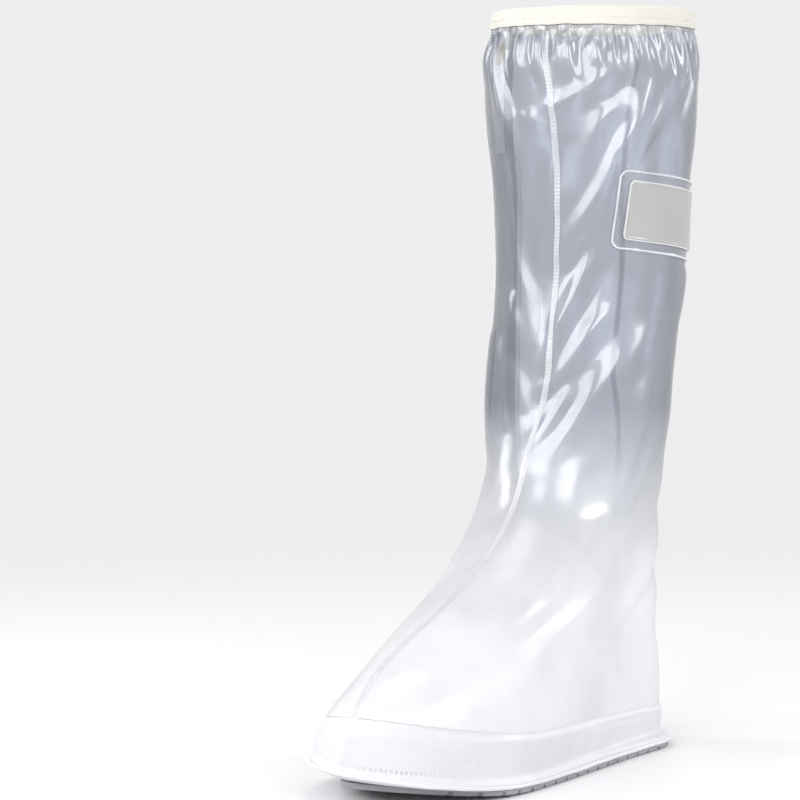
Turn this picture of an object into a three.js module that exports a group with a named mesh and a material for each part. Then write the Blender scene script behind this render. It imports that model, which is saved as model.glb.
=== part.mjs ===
// Waterproof boot cover: a clear film boot on a ribbed sole, with a gathered elastic top and a side zip.
// Millimetres, +Z up. The toe points to -Y, the outer side of this left boot is +X and its zip is at -X.
import * as THREE from "three";

// Overall sizes
const HEIGHT = 395;
const GAP = 0.3;
const FILM = 1;

// Sole: the lip's outline, then the layers from the ground up
const LIP_LENGTH = 284;
const LIP_WIDTH = 108;
const LIP_HEEL_WIDTH = 94;
const TOE_CURVE = 90;
const HEEL_CURVE = 44;
const TOE_POWER = 2.1;
const HEEL_POWER = 2.4;
const TREAD_INSET = 1.5;
const TREAD_HEIGHT = 3;
const WELT_HEIGHT = 2;
const TOE_SPRING = 10.5;
const TOE_SPRING_REACH = 110;
const GROOVE_PITCH = 12.5;
const GROOVE_WIDTH = 2.8;
const GROOVE_DEPTH = 2;
const GROOVE_DRAFT = 0.3;
const GROOVE_END_MARGIN = 12;
const SOLE_END_STEPS = 9;
const WELT_STEPS = 24;
const SOLE_TOP = TREAD_HEIGHT + GAP + WELT_HEIGHT;
const LIP_SEAT = 0.35;

// Rand: the embossed strip that stands on the lip round the foot, and the strip over its joint at the toe
const RAND_THICKNESS = 1.6;
const RAND_SEAT = 0.6;
const RAND_HEEL_TOP = 22;
const RAND_SLOPE = 0.036;
const RAND_TOE_RISE = 12.5;
const RAND_RISE_START = -20;
const RAND_RISE_REACH = 118;
const RAND_CELLS = 56;
const RAND_ROWS = 4;
const TOE_STRIP_WIDTH = 5.5;
const TOE_STRIP_THICKNESS = 1;

// Zip on the inner side
const ZIP_BOTTOM = 93;
const ZIP_BOTTOM_Y = 86;
const ZIP_TOP_Y = 100;
const ZIP_SLOT_HALF = 7;
const ZIP_FLAT_HALF = 16;
const ZIP_FADE = 14;
const TAPE_WIDTH = 12.4;
const TAPE_THICKNESS = 0.8;
const TAPE_CELLS = 3;
const CHAIN_CELLS = 2;
const CHAIN_HALF = 2.8;
const CHAIN_BACK = -0.5;
const CHAIN_FACE = 1.5;
const CELLS_BEHIND_ZIP = 11;
const CELLS_IN_SLOT = 2;
const CELLS_BEFORE_ZIP = 15;
const PLATE_CORNER_SEGMENTS = 4;
const SLIDER = { width: 8.5, length: 12, thickness: 3.4, corner: 2.5, z: 373 };
const PULL = { width: 5.6, length: 15, thickness: 1.2, corner: 2, z: 364 };

// Film: height where the sections stop following the sole's toe spring, and the grid's cells
const FOOT_JOIN = 46;
const FOOT_CELLS = 2;
const PANEL_CELLS = 28;
const ROW_CLEARANCE = 1;
const SEAM_CLEARANCE = 0.15;
const SEAM_WIDTH = 3.2;
const SEAM_THICKNESS = 1.2;
const PANEL_ROWS = [
  54, 63, 73, 83, ZIP_BOTTOM, 106, 120, 138, 158, 182, 210, 240, 262, 285, 308, 326, 342, 356, 368, 377,
];

// Elastic band round the top edge
const BAND_HEIGHT = 10.5;
const BAND_WALL = 1.2;
const BAND_CELLS = 48;
const BAND_MOUTH = 8;
const BAND_BOTTOM = HEIGHT - BAND_HEIGHT;
const FILM_TOP = HEIGHT - BAND_WALL - GAP;

// Gathers below the band
const PLEATS_PER_SIDE = 7;
const PLEAT_HEIGHT = 3.4;
const PLEAT_FULL = 9;
const PLEAT_REACH = 66;
const PLEAT_FADE_POWER = 1.5;

// Storm flap: the film behind the zip
const FLAP = { bottom: 118, top: 318, behind: 16, ahead: 48, cells: 9, seat: 0.5 };

// Welded patch on the outer side, with a plain plate on it
const PATCH = { share: 0.425, z: 285, tilt: 6, seat: 0.6, flatAcross: 47, flatUp: 29 };
const PATCH_PAD = { width: 79, height: 42.5, corner: 5.5, thickness: 1 };
const PATCH_PLATE = { width: 66, height: 31.5, corner: 3.5, thickness: 0.8 };
const PATCH_CELLS = 12;
const PATCH_ROWS = 6;
const PATCH_FADE = 12;

// Fineness of the outlines, slopes and searches
const CURVE_STEPS = 28;
const SLOPE_SHARE = 0.004;
const SLOPE_HEIGHT = 0.5;
const SEARCH_STEPS = 40;
const SETTLE_STEPS = 5;
const TINY = 1e-9;

// Horizontal sections of the film's outer skin. Along Y: the front end, the end of the front curve, the start
// of the heel curve and the back end. Then the half widths, the sideways shift, the turn in degrees about the
// end of the front curve, and the powers of the two end curves (2 is an ellipse).
const SECTION_COLUMNS = [
  "z", "front", "ball", "heel", "back", "outer",
  "inner", "heelHalf", "shift", "turn", "frontPower", "backPower",
];
const SECTION_ROWS = [
  [5, -136, -52, 98, 137, 49, 49, 39, 0, 0, 2.1, 2.4],
  [30, -137, -52, 98, 138, 49.5, 47, 39.5, 0, 0, 2, 2.4],
  [42, -135.5, -52, 96, 137.5, 49.5, 41.5, 40, 0, 0, 1.9, 2.4],
  [52, -126.5, -50, 94, 136.5, 49, 35, 40.5, 0, 0, 1.8, 2.3],
  [62, -113, -40, 92, 135, 47.5, 31, 40.5, 0, 0, 1.75, 2.2],
  [74, -88, -15, 90, 134.5, 46, 33, 41, 0, 0, 1.7, 2.2],
  [84, -61, 15, 90, 134.5, 45, 37, 41.5, 0, 0, 1.7, 2.2],
  [92, -41, 35, 88, 134.5, 44.5, 40.5, 41.5, 0, 0, 1.65, 2.1],
  [104, -18, 50, 86, 134, 44, 42, 42, 0, 0, 1.65, 2.1],
  [118, 4, 64, 86, 134.5, 44, 42, 42.5, 0, 0, 1.7, 2.1],
  [130, 18, 74, 86, 135.5, 44.5, 42.5, 43.5, 0, 0, 1.75, 2],
  [143, 27, 82, 88, 137, 45.5, 44.5, 45, 0.5, 0, 1.8, 2],
  [162, 35, 89, 90, 139.5, 47, 47, 46.5, 0.5, 1, 1.9, 2],
  [180, 40.5, 91, 91, 141.5, 48.5, 48.5, 48.5, 1, 4, 2, 2],
  [200, 43.5, 92.5, 92.5, 142.5, 49, 49, 49, 1.5, 8, 2, 2],
  [225, 46, 96, 96, 146, 49.5, 49.5, 49.5, 2, 8, 2, 2],
  [256, 49, 99.5, 99.5, 150, 50.5, 50.5, 50.5, 3, 8, 2, 2],
  [300, 47, 99.5, 99.5, 152, 52.5, 52.5, 52.5, 3.5, 9, 2, 2],
  [330, 43.5, 99.5, 99.5, 155.5, 56, 56, 56, 3.5, 8, 2, 2],
  [352, 42.5, 99.5, 99.5, 157, 57, 57, 57, 3.5, 6, 2, 2],
  [368, 42.5, 99.5, 99.5, 157, 56.5, 56.5, 56.5, 3.5, 3, 2, 2],
  [384, 46, 100, 100, 154, 53.5, 53.5, 53.5, 4, 2, 2, 2],
  [395, 47.5, 100, 100, 152.5, 52.5, 52.5, 52.5, 4, 2, 2, 2],
];

// Long folds in the film. Each runs straight from its top to its bottom. A share counts round the boot from
// the front seam at 0 to the back seam at 1 on the outer side and -1 on the inner side.
const FOLD_COLUMNS = ["topZ", "topShare", "bottomZ", "bottomShare", "width", "height"];
const FOLD_ROWS = [
  [355, 0.304, 259, 0.04, 7, 3],
  [352, 0.363, 273, 0.116, 5, 1.8],
  [342, 0.168, 285, 0.04, 5, 1.2],
  [289, 0.195, 203, 0.035, 5, 2.6],
  [282, 0.133, 225, 0.04, 5, 1.5],
  [238, 0.19, 191, 0.04, 7, 1.3],
  [198, 0.088, 163, 0.04, 5, 1.8],
  [234, 0.424, 155, 0.084, 9, 3],
  [217, 0.389, 129, 0.363, 6, 2.2],
  [160, 0.465, 126, 0.415, 5, 2],
  [378, 0.513, 317, 0.258, 5, 2.2],
  [360, 0.189, 337, 0.05, 8, 2.2],
  [130, 0.3, 62, 0.12, 9, 1.2],
  [135, 0.8, 70, 0.62, 9, 1.4],
  [340, 0.78, 230, 0.6, 8, 2],
  [373, -0.232, 317, -0.144, 6, 2.6],
  [272, -0.175, 228, -0.082, 5, 2.2],
  [248, -0.195, 212, -0.117, 6, 2],
  [285, -0.091, 261, -0.045, 5, 1.2],
  [227, -0.259, 172, -0.135, 8, 2],
  [209, -0.153, 182, -0.057, 5, 1.5],
  [150, -0.3, 70, -0.1, 9, 1.4],
  [330, -0.8, 220, -0.68, 8, 2],
  [150, -0.85, 80, -0.68, 9, 1.5],
];

const tableRows = (columns, rows) =>
  rows.map((row) => Object.fromEntries(columns.map((name, i) => [name, row[i]])));
const folds = tableRows(FOLD_COLUMNS, FOLD_ROWS);
const sectionCurve = new THREE.CubicInterpolant(
  SECTION_ROWS.map((row) => row[0]),
  SECTION_ROWS.flat(),
  SECTION_COLUMNS.length,
  new Float64Array(SECTION_COLUMNS.length),
);
const clamp01 = (t) => THREE.MathUtils.clamp(t, 0, 1);
const smooth = (t) => THREE.MathUtils.smoothstep(t, 0, 1);
const lerp = THREE.MathUtils.lerp;
const spread = (count) => Array.from({ length: count + 1 }, (_, i) => i / count);

// Sole heights along Y
function toeLift(y) {
  const t = clamp01((TOE_SPRING_REACH - LIP_LENGTH / 2 - y) / TOE_SPRING_REACH);
  return TOE_SPRING * t * t;
}

function randTop(y) {
  const t = clamp01((RAND_RISE_START - y) / RAND_RISE_REACH);
  return RAND_HEEL_TOP + RAND_SLOPE * (LIP_LENGTH / 2 - y) + RAND_TOE_RISE * t * t;
}

// Half width of the lip's outline at y, drawn in all round by the inset.
function soleHalfWidth(y, inset) {
  const end = LIP_LENGTH / 2;
  const ball = TOE_CURVE - end;
  const heel = end - HEEL_CURVE;
  const wide = LIP_WIDTH / 2 - inset;
  const narrow = LIP_HEEL_WIDTH / 2 - inset;
  if (y < ball) return wide * (1 - ((ball - y) / (TOE_CURVE - inset)) ** TOE_POWER) ** (1 / TOE_POWER);
  if (y > heel) return narrow * (1 - ((y - heel) / (HEEL_CURVE - inset)) ** HEEL_POWER) ** (1 / HEEL_POWER);
  return lerp(wide, narrow, smooth((y - ball) / (heel - ball)));
}

// Half of a section's outline from front to back, with the length run so far at each point.
const outlines = new Map();
function halfOutline(side, z) {
  const key = side + " " + z.toFixed(3);
  if (outlines.has(key)) return outlines.get(key);
  const values = sectionCurve.evaluate(z);
  const s = Object.fromEntries(SECTION_COLUMNS.map((name, i) => [name, values[i]]));
  const half = side > 0 ? s.outer : s.inner;
  const flat = [];
  for (const t of spread(CURVE_STEPS)) {
    const a = (t * Math.PI) / 2;
    const reach = (s.ball - s.front) * Math.cos(a) ** (2 / s.frontPower);
    flat.push([half * Math.sin(a) ** (2 / s.frontPower), s.ball - reach]);
  }
  for (const t of spread(CURVE_STEPS)) {
    flat.push([lerp(half, s.heelHalf, smooth(t)), lerp(s.ball, s.heel, t)]);
  }
  for (const t of spread(CURVE_STEPS)) {
    const a = (t * Math.PI) / 2;
    const reach = (s.back - s.heel) * Math.sin(a) ** (2 / s.backPower);
    flat.push([s.heelHalf * Math.cos(a) ** (2 / s.backPower), s.heel + reach]);
  }
  const pivot = new THREE.Vector2(0, s.ball);
  const turn = THREE.MathUtils.degToRad(s.turn);
  const points = flat.map(([x, y]) => new THREE.Vector2(side * x, y).rotateAround(pivot, turn));
  points.forEach((p) => (p.x += s.shift));
  const lengths = [0];
  for (let i = 1; i < points.length; i++) lengths.push(lengths[i - 1] + points[i].distanceTo(points[i - 1]));
  const outline = { points, lengths, length: lengths[lengths.length - 1] };
  outlines.set(key, outline);
  return outline;
}

const sideOf = (share) => (share < 0 ? -1 : 1);
const halfLength = (share, z) => halfOutline(sideOf(share), z).length;

// A point of the smooth skin. Shares past the back seam run on round the other side.
function basePoint(share, z) {
  const wrapped = share > 1 ? share - 2 : share;
  const { points, lengths, length } = halfOutline(sideOf(wrapped), z);
  const run = Math.min(Math.abs(wrapped), 1) * length;
  let i = 1;
  while (i < lengths.length - 1 && lengths[i] < run) i++;
  const t = (run - lengths[i - 1]) / Math.max(lengths[i] - lengths[i - 1], TINY);
  const p = points[i - 1].clone().lerp(points[i], t);
  return new THREE.Vector3(p.x, p.y, z);
}

function baseNormal(share, z) {
  const across = basePoint(share + SLOPE_SHARE, z).sub(basePoint(share - SLOPE_SHARE, z));
  const up = basePoint(share, z + SLOPE_HEIGHT).sub(basePoint(share, z - SLOPE_HEIGHT));
  return across.cross(up).normalize();
}

// Share of the zip's middle line, where the inner side's outline crosses the zip's straight line.
const zipShares = new Map();
function zipShare(z) {
  if (zipShares.has(z)) return zipShares.get(z);
  const t = clamp01((z - ZIP_BOTTOM) / (HEIGHT - ZIP_BOTTOM));
  const y = lerp(ZIP_BOTTOM_Y, ZIP_TOP_Y, t);
  let front = 0;
  let back = -1;
  for (let i = 0; i < SEARCH_STEPS; i++) {
    const middle = (front + back) / 2;
    if (basePoint(middle, z).y < y) front = middle;
    else back = middle;
  }
  zipShares.set(z, front);
  return front;
}

// Gathers and folds as a height over the smooth skin. The zip and the patch hold the film flat near them.
function gatherHeight(share, z) {
  const below = BAND_BOTTOM - z;
  if (below <= 0 || below >= PLEAT_REACH) return 0;
  const grow = smooth(below / PLEAT_FULL);
  const fade = (1 - below / PLEAT_REACH) ** PLEAT_FADE_POWER;
  return PLEAT_HEIGHT * grow * fade * Math.cos(2 * Math.PI * PLEATS_PER_SIDE * share);
}

function foldHeight(share, z) {
  let height = 0;
  for (const fold of folds) {
    const t = (fold.topZ - z) / (fold.topZ - fold.bottomZ);
    if (t <= 0 || t >= 1) continue;
    const off = (share - lerp(fold.topShare, fold.bottomShare, t)) * halfLength(share, z);
    height += fold.height * Math.sin(Math.PI * t) * Math.exp(-((off / fold.width) ** 2));
  }
  return height;
}

function flatness(share, z) {
  const length = halfLength(share, z);
  const fromZip = share < 0 && z > ZIP_BOTTOM ? Math.abs(share - zipShare(z)) * length : Infinity;
  const acrossPatch = Math.abs(share - PATCH.share) * length - PATCH.flatAcross;
  const upPatch = Math.abs(z - PATCH.z) - PATCH.flatUp;
  const fromPatch = share > 0 ? Math.max(acrossPatch, upPatch, 0) : Infinity;
  return smooth((fromZip - ZIP_FLAT_HALF) / ZIP_FADE) * smooth(fromPatch / PATCH_FADE);
}

// Points at a height over the smooth skin, and over the skin with its gathers and folds.
const smoothPoint = (share, z, height) => basePoint(share, z).addScaledVector(baseNormal(share, z), height);

function skinPoint(share, z, height) {
  const wrapped = share > 1 ? share - 2 : share;
  const relief = (gatherHeight(wrapped, z) + foldHeight(wrapped, z)) * flatness(wrapped, z);
  return smoothPoint(wrapped, z, relief + height);
}

// Section height that puts a point of the foot, raised over the skin, between the lip (0) and the top (1).
function footHeight(share, t, level, top = () => FOOT_JOIN) {
  let z = RAND_HEEL_TOP;
  for (let i = 0; i < SETTLE_STEPS; i++) {
    const point = skinPoint(share, z, level);
    const bottom = SOLE_TOP + LIP_SEAT + toeLift(point.y);
    z += lerp(bottom, top(point.y), t) - point.z;
  }
  return z;
}

// A closed solid from an outer and an inner grid of points. Rows run up and columns run to the right, seen
// from outside. Cells that are left out become openings.
function sheetSolid(outer, inner, isKept = () => true) {
  const rows = outer.length;
  const columns = outer[0].length;
  const points = [...outer.flat(), ...inner.flat()];
  const outside = (r, c) => r * columns + c;
  const inside = (r, c) => rows * columns + outside(r, c);
  const kept = (r, c) => r >= 0 && c >= 0 && r < rows - 1 && c < columns - 1 && isKept(r, c);
  const faces = [];
  const quad = (a, b, c, d) => faces.push(a, b, c, a, c, d);
  const wall = (r0, c0, r1, c1) => quad(outside(r1, c1), outside(r0, c0), inside(r0, c0), inside(r1, c1));
  for (let r = 0; r < rows - 1; r++) {
    for (let c = 0; c < columns - 1; c++) {
      if (!kept(r, c)) continue;
      quad(outside(r, c), outside(r, c + 1), outside(r + 1, c + 1), outside(r + 1, c));
      quad(inside(r, c), inside(r + 1, c), inside(r + 1, c + 1), inside(r, c + 1));
      if (!kept(r - 1, c)) wall(r, c, r, c + 1);
      if (!kept(r, c + 1)) wall(r, c + 1, r + 1, c + 1);
      if (!kept(r + 1, c)) wall(r + 1, c + 1, r + 1, c);
      if (!kept(r, c - 1)) wall(r + 1, c, r, c);
    }
  }
  return solidGeometry(points, faces);
}

function solidGeometry(points, faces) {
  const used = [...new Set(faces)];
  const place = new Map(used.map((old, i) => [old, i]));
  const geometry = new THREE.BufferGeometry().setFromPoints(used.map((old) => points[old]));
  geometry.setIndex(faces.map((old) => place.get(old)));
  geometry.computeVertexNormals();
  return geometry;
}

// A closed solid swept through loops of points that all have the same number of corners. The end faces are
// triangles of those corners, a fan unless others are given.
const fan = (size) => Array.from({ length: size - 2 }, (_, i) => [0, i + 1, i + 2]);
function loopSolid(loops, endFaces = fan(loops[0].length)) {
  const size = loops[0].length;
  const faces = [];
  for (let k = 0; k < loops.length - 1; k++) {
    for (let i = 0; i < size; i++) {
      const a = k * size + i;
      const b = k * size + ((i + 1) % size);
      faces.push(a, b, b + size, a, b + size, a + size);
    }
  }
  const last = (loops.length - 1) * size;
  for (const [a, b, c] of endFaces) {
    faces.push(a, c, b);
    faces.push(last + a, last + b, last + c);
  }
  return solidGeometry(loops.flat(), faces);
}

const gridOf = (rows, sharesAt, level, pointAt = skinPoint) =>
  rows.map((row) => {
    const heightAt = typeof row === "function" ? row : () => row;
    return sharesAt(row).map((share) => pointAt(share, heightAt(share, level), level));
  });

// Rows of the film: the lowest follow the sole, as functions of the share, and the rest are level.
const footRows = spread(FOOT_CELLS).map((t) => (share, level) => footHeight(share, t, level));
const filmRows = [...footRows, ...PANEL_ROWS, BAND_BOTTOM, FILM_TOP];
const levelOf = (row) => (typeof row === "function" ? FOOT_JOIN : row);
const isAboveZipBottom = (row) => typeof row === "number" && row >= ZIP_BOTTOM;

function panelOuter() {
  const sharesAt = (row) => {
    const margin = SEAM_CLEARANCE / halfLength(1, levelOf(row));
    return spread(PANEL_CELLS).map((t) => lerp(margin, 1 - margin, t));
  };
  return sheetSolid(gridOf(filmRows, sharesAt, 0), gridOf(filmRows, sharesAt, -FILM));
}

function panelInner() {
  const sharesAt = (row) => {
    const z = Math.max(levelOf(row), ZIP_BOTTOM);
    const length = halfLength(-1, levelOf(row));
    const margin = SEAM_CLEARANCE / length;
    const slot = ZIP_SLOT_HALF / length;
    const zip = zipShare(z);
    const behind = spread(CELLS_BEHIND_ZIP).map((t) => lerp(margin - 1, zip - slot, t));
    const across = spread(CELLS_IN_SLOT).map((t) => lerp(zip - slot, zip + slot, t));
    const before = spread(CELLS_BEFORE_ZIP).map((t) => lerp(zip + slot, -margin, t));
    return [...behind, ...across.slice(1), ...before.slice(1)];
  };
  const inSlot = (c) => c >= CELLS_BEHIND_ZIP && c < CELLS_BEHIND_ZIP + CELLS_IN_SLOT;
  const isKept = (r, c) => !(inSlot(c) && isAboveZipBottom(filmRows[r]));
  return sheetSolid(gridOf(filmRows, sharesAt, 0), gridOf(filmRows, sharesAt, -FILM), isKept);
}

// A narrow strip that lies over the joint of the two panels, from the rand's top to the band.
function seamStrip(share) {
  const start = randTop(basePoint(share, FOOT_JOIN).y) + GAP;
  const panelRows = [FOOT_JOIN, ...PANEL_ROWS];
  const rows = [start, ...panelRows.filter((z) => z > start + ROW_CLEARANCE), BAND_BOTTOM - GAP];
  const sharesAt = (z) => {
    const reach = SEAM_WIDTH / 2 / halfLength(1, z);
    return [share - reach, share, share + reach];
  };
  return sheetSolid(gridOf(rows, sharesAt, GAP + SEAM_THICKNESS), gridOf(rows, sharesAt, GAP));
}

function rand() {
  const joint = SEAM_CLEARANCE / halfLength(1, RAND_HEEL_TOP);
  const shares = spread(RAND_CELLS).map((t) => lerp(joint, 2 - joint, t));
  const rows = spread(RAND_ROWS).map((t) => (share, level) => footHeight(share, t, level, randTop));
  return sheetSolid(
    gridOf(rows, () => shares, RAND_SEAT + RAND_THICKNESS),
    gridOf(rows, () => shares, RAND_SEAT),
  );
}

function toeStrip() {
  const reach = TOE_STRIP_WIDTH / 2 / halfLength(1, RAND_HEEL_TOP);
  const rows = spread(RAND_ROWS).map((t) => (share, level) => footHeight(share, t, level, randTop));
  const back = RAND_SEAT + RAND_THICKNESS + GAP;
  const shares = [-reach, -reach / 3, reach / 3, reach];
  return sheetSolid(
    gridOf(rows, () => shares, back + TOE_STRIP_THICKNESS),
    gridOf(rows, () => shares, back),
  );
}

// A sole layer is swept from toe to heel through rectangles as wide as the outline. Its stations are the
// given ones in the middle, which may have a raised underside, and others close together at the round ends.
function soleLayer(inset, bottom, top, middle) {
  const end = LIP_LENGTH / 2 - inset;
  const ends = spread(SOLE_END_STEPS).map((t) => GROOVE_END_MARGIN * (1 - Math.cos((t * Math.PI) / 2)));
  const rounded = ends.slice(1).flatMap((d) => [{ y: d - end, raise: 0 }, { y: end - d, raise: 0 }]);
  const stations = [...rounded, ...middle].sort((a, b) => a.y - b.y);
  const loops = stations.map(({ y, raise }) => {
    const half = soleHalfWidth(y, inset);
    const low = bottom + raise + toeLift(y);
    const high = top + toeLift(y);
    const corners = [[-half, low], [-half, high], [half, high], [half, low]];
    return corners.map(([x, z]) => new THREE.Vector3(x, y, z));
  });
  return loopSolid(loops);
}

function outsole() {
  const room = LIP_LENGTH / 2 - TREAD_INSET - GROOVE_END_MARGIN - GROOVE_WIDTH;
  const count = Math.floor(room / GROOVE_PITCH);
  const grooves = Array.from({ length: 2 * count + 1 }, (_, i) => (i - count) * GROOVE_PITCH);
  const mouth = GROOVE_WIDTH / 2;
  const floor = mouth - GROOVE_DRAFT;
  const middle = grooves.flatMap((y) => [
    { y: y - mouth, raise: 0 },
    { y: y - floor, raise: GROOVE_DEPTH },
    { y: y + floor, raise: GROOVE_DEPTH },
    { y: y + mouth, raise: 0 },
  ]);
  return soleLayer(TREAD_INSET, 0, TREAD_HEIGHT, middle);
}

function welt() {
  const room = LIP_LENGTH / 2 - GROOVE_END_MARGIN;
  const middle = spread(WELT_STEPS).slice(1, -1).map((t) => ({ y: lerp(-room, room, t), raise: 0 }));
  return soleLayer(0, TREAD_HEIGHT + GAP, SOLE_TOP, middle);
}

// The band is folded over the film's top edge and stops at each side of the zip.
function topBand() {
  const mouth = BAND_MOUTH / 2 / halfLength(-1, BAND_BOTTOM);
  const zip = zipShare(BAND_BOTTOM);
  const outer = GAP + BAND_WALL;
  const inner = -FILM - GAP - BAND_WALL;
  const corners = [
    [outer, BAND_BOTTOM], [GAP, BAND_BOTTOM], [GAP, HEIGHT - BAND_WALL], [-FILM - GAP, HEIGHT - BAND_WALL],
    [-FILM - GAP, BAND_BOTTOM], [inner, BAND_BOTTOM], [inner, HEIGHT], [outer, HEIGHT],
  ];
  const loops = spread(BAND_CELLS).map((t) => {
    const share = lerp(zip + mouth, zip + 2 - mouth, t);
    return corners.map(([level, z]) => skinPoint(share, z, level));
  });
  const walls = [[0, 1, 2], [0, 2, 7], [7, 2, 3], [7, 3, 6], [3, 4, 5], [3, 5, 6]];
  return loopSolid(loops, walls);
}

// Zip pieces run along the zip's line between two distances from it, forward of it being positive.
function zipStrip(from, to, cells, back, face, bottom, top) {
  const between = (z) => z > bottom + ROW_CLEARANCE && z < top - ROW_CLEARANCE;
  const rows = [bottom, ...PANEL_ROWS.filter(between), top];
  const sharesAt = (z) => spread(cells).map((t) => zipShare(z) + lerp(from, to, t) / halfLength(-1, z));
  return sheetSolid(gridOf(rows, sharesAt, face), gridOf(rows, sharesAt, back));
}

const zipTop = BAND_BOTTOM - GAP;
const tapeStart = CHAIN_HALF + GAP;
const tapeEnd = tapeStart + TAPE_WIDTH;
const tapeFace = GAP + TAPE_THICKNESS;
const zipTapeFront = () => zipStrip(tapeStart, tapeEnd, TAPE_CELLS, GAP, tapeFace, ZIP_BOTTOM, zipTop);
const zipTapeBack = () => zipStrip(-tapeEnd, -tapeStart, TAPE_CELLS, GAP, tapeFace, ZIP_BOTTOM, zipTop);
const zipTeeth = () =>
  zipStrip(-CHAIN_HALF, CHAIN_HALF, CHAIN_CELLS, CHAIN_BACK, CHAIN_FACE, ZIP_BOTTOM + GAP, zipTop);

function stormFlap() {
  const rows = [FLAP.bottom, ...PANEL_ROWS.filter((z) => z > FLAP.bottom && z < FLAP.top), FLAP.top];
  const sharesAt = (z) =>
    spread(FLAP.cells).map((t) => zipShare(z) + lerp(-FLAP.behind, FLAP.ahead, t) / halfLength(-1, z));
  const face = -FILM - FLAP.seat;
  const gridAt = (level) => gridOf(rows, sharesAt, level, smoothPoint);
  return sheetSolid(gridAt(face), gridAt(face - FILM));
}

// A flat plate with round corners, lying on the zip at a height: X across, Y up the zip, Z outwards.
function zipPlate(size, level) {
  const w = size.width / 2;
  const h = size.length / 2;
  const r = size.corner;
  const shape = new THREE.Shape();
  shape.absarc(w - r, h - r, r, 0, Math.PI / 2);
  shape.absarc(r - w, h - r, r, Math.PI / 2, Math.PI);
  shape.absarc(r - w, r - h, r, Math.PI, 1.5 * Math.PI);
  shape.absarc(w - r, r - h, r, 1.5 * Math.PI, 2 * Math.PI);
  const geometry = new THREE.ExtrudeGeometry(shape, {
    depth: size.thickness,
    bevelEnabled: false,
    curveSegments: PLATE_CORNER_SEGMENTS,
  });
  const share = zipShare(size.z);
  const out = baseNormal(share, size.z);
  const up = basePoint(share, size.z + 1).sub(basePoint(zipShare(size.z - 1), size.z - 1));
  const across = up.clone().cross(out).normalize();
  const along = out.clone().cross(across);
  const place = new THREE.Matrix4().makeBasis(across, along, out);
  place.setPosition(basePoint(share, size.z).addScaledVector(out, level));
  return geometry.applyMatrix4(place);
}

const sliderBack = CHAIN_FACE + GAP;
const pullBack = sliderBack + SLIDER.thickness + GAP;

// A plate with round corners, bent round the outer side and turned a little in its own plane.
function patchPlate(size, level) {
  const tilt = THREE.MathUtils.degToRad(PATCH.tilt);
  const length = halfLength(1, PATCH.z);
  const pointAt = (across, up, height) => {
    const a = across * Math.cos(tilt) + up * Math.sin(tilt);
    const b = up * Math.cos(tilt) - across * Math.sin(tilt);
    return skinPoint(PATCH.share + a / length, PATCH.z + b, height);
  };
  const grid = (height) =>
    spread(PATCH_ROWS).map((t) => {
      const up = -Math.cos(Math.PI * t) * (size.height / 2);
      const intoCorner = Math.max(Math.abs(up) - size.height / 2 + size.corner, 0);
      const half = size.width / 2 - size.corner + Math.sqrt(size.corner ** 2 - intoCorner ** 2);
      return spread(PATCH_CELLS).map((s) => pointAt(lerp(-half, half, s), up, height));
    });
  return sheetSolid(grid(level + size.thickness), grid(level));
}

const plateBack = PATCH.seat + PATCH_PAD.thickness + GAP;

// Materials
const solidLook = (color, roughness, metalness = 0) =>
  new THREE.MeshStandardMaterial({ color, roughness, metalness });
const clearLook = (color, roughness, opacity) =>
  new THREE.MeshStandardMaterial({ color, roughness, opacity, transparent: true });
const film = () => clearLook(0xd9dde2, 0.18, 0.4);
const weld = () => clearLook(0xe4e6e9, 0.25, 0.7);
const white = () => solidLook(0xf1f1f2, 0.55);
const tread = () => solidLook(0xa09ca3, 0.6);
const elastic = () => solidLook(0xeee9dd, 0.9);
const tape = () => solidLook(0xdcdde2, 0.7);
const metal = () => solidLook(0xc9b98a, 0.35, 0.9);
const plate = () => solidLook(0xb9b7b4, 0.4);

const PIECES = [
  ["outsole", outsole(), tread()],
  ["welt", welt(), white()],
  ["rand", rand(), white()],
  ["toe_strip", toeStrip(), white()],
  ["panel_outer", panelOuter(), film()],
  ["panel_inner", panelInner(), film()],
  ["seam_front", seamStrip(0), weld()],
  ["seam_back", seamStrip(1), weld()],
  ["top_band", topBand(), elastic()],
  ["zip_tape_front", zipTapeFront(), tape()],
  ["zip_tape_back", zipTapeBack(), tape()],
  ["zip_teeth", zipTeeth(), tape()],
  ["zip_slider", zipPlate(SLIDER, sliderBack), metal()],
  ["zip_pull", zipPlate(PULL, pullBack), metal()],
  ["storm_flap", stormFlap(), film()],
  ["patch_pad", patchPlate(PATCH_PAD, PATCH.seat), weld()],
  ["patch_plate", patchPlate(PATCH_PLATE, plateBack), plate()],
];

const boot = new THREE.Group();
for (const [name, geometry, material] of PIECES) {
  const mesh = new THREE.Mesh(geometry, material);
  mesh.name = name;
  boot.add(mesh);
}

// The origin is on the ground under the middle of the boot's bounding box.
const middle = new THREE.Box3().setFromObject(boot).getCenter(new THREE.Vector3());
boot.position.set(-middle.x, -middle.y, 0);

export default boot;
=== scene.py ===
"""Looks of the waterproof boot cover: clear film on a ribbed sole, with an elastic top and a side zip.

Sizes are millimetres in the part's own frame: toe to -Y, outer side +X, zip at -X, ground at Z 0.
"""
import math

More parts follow.
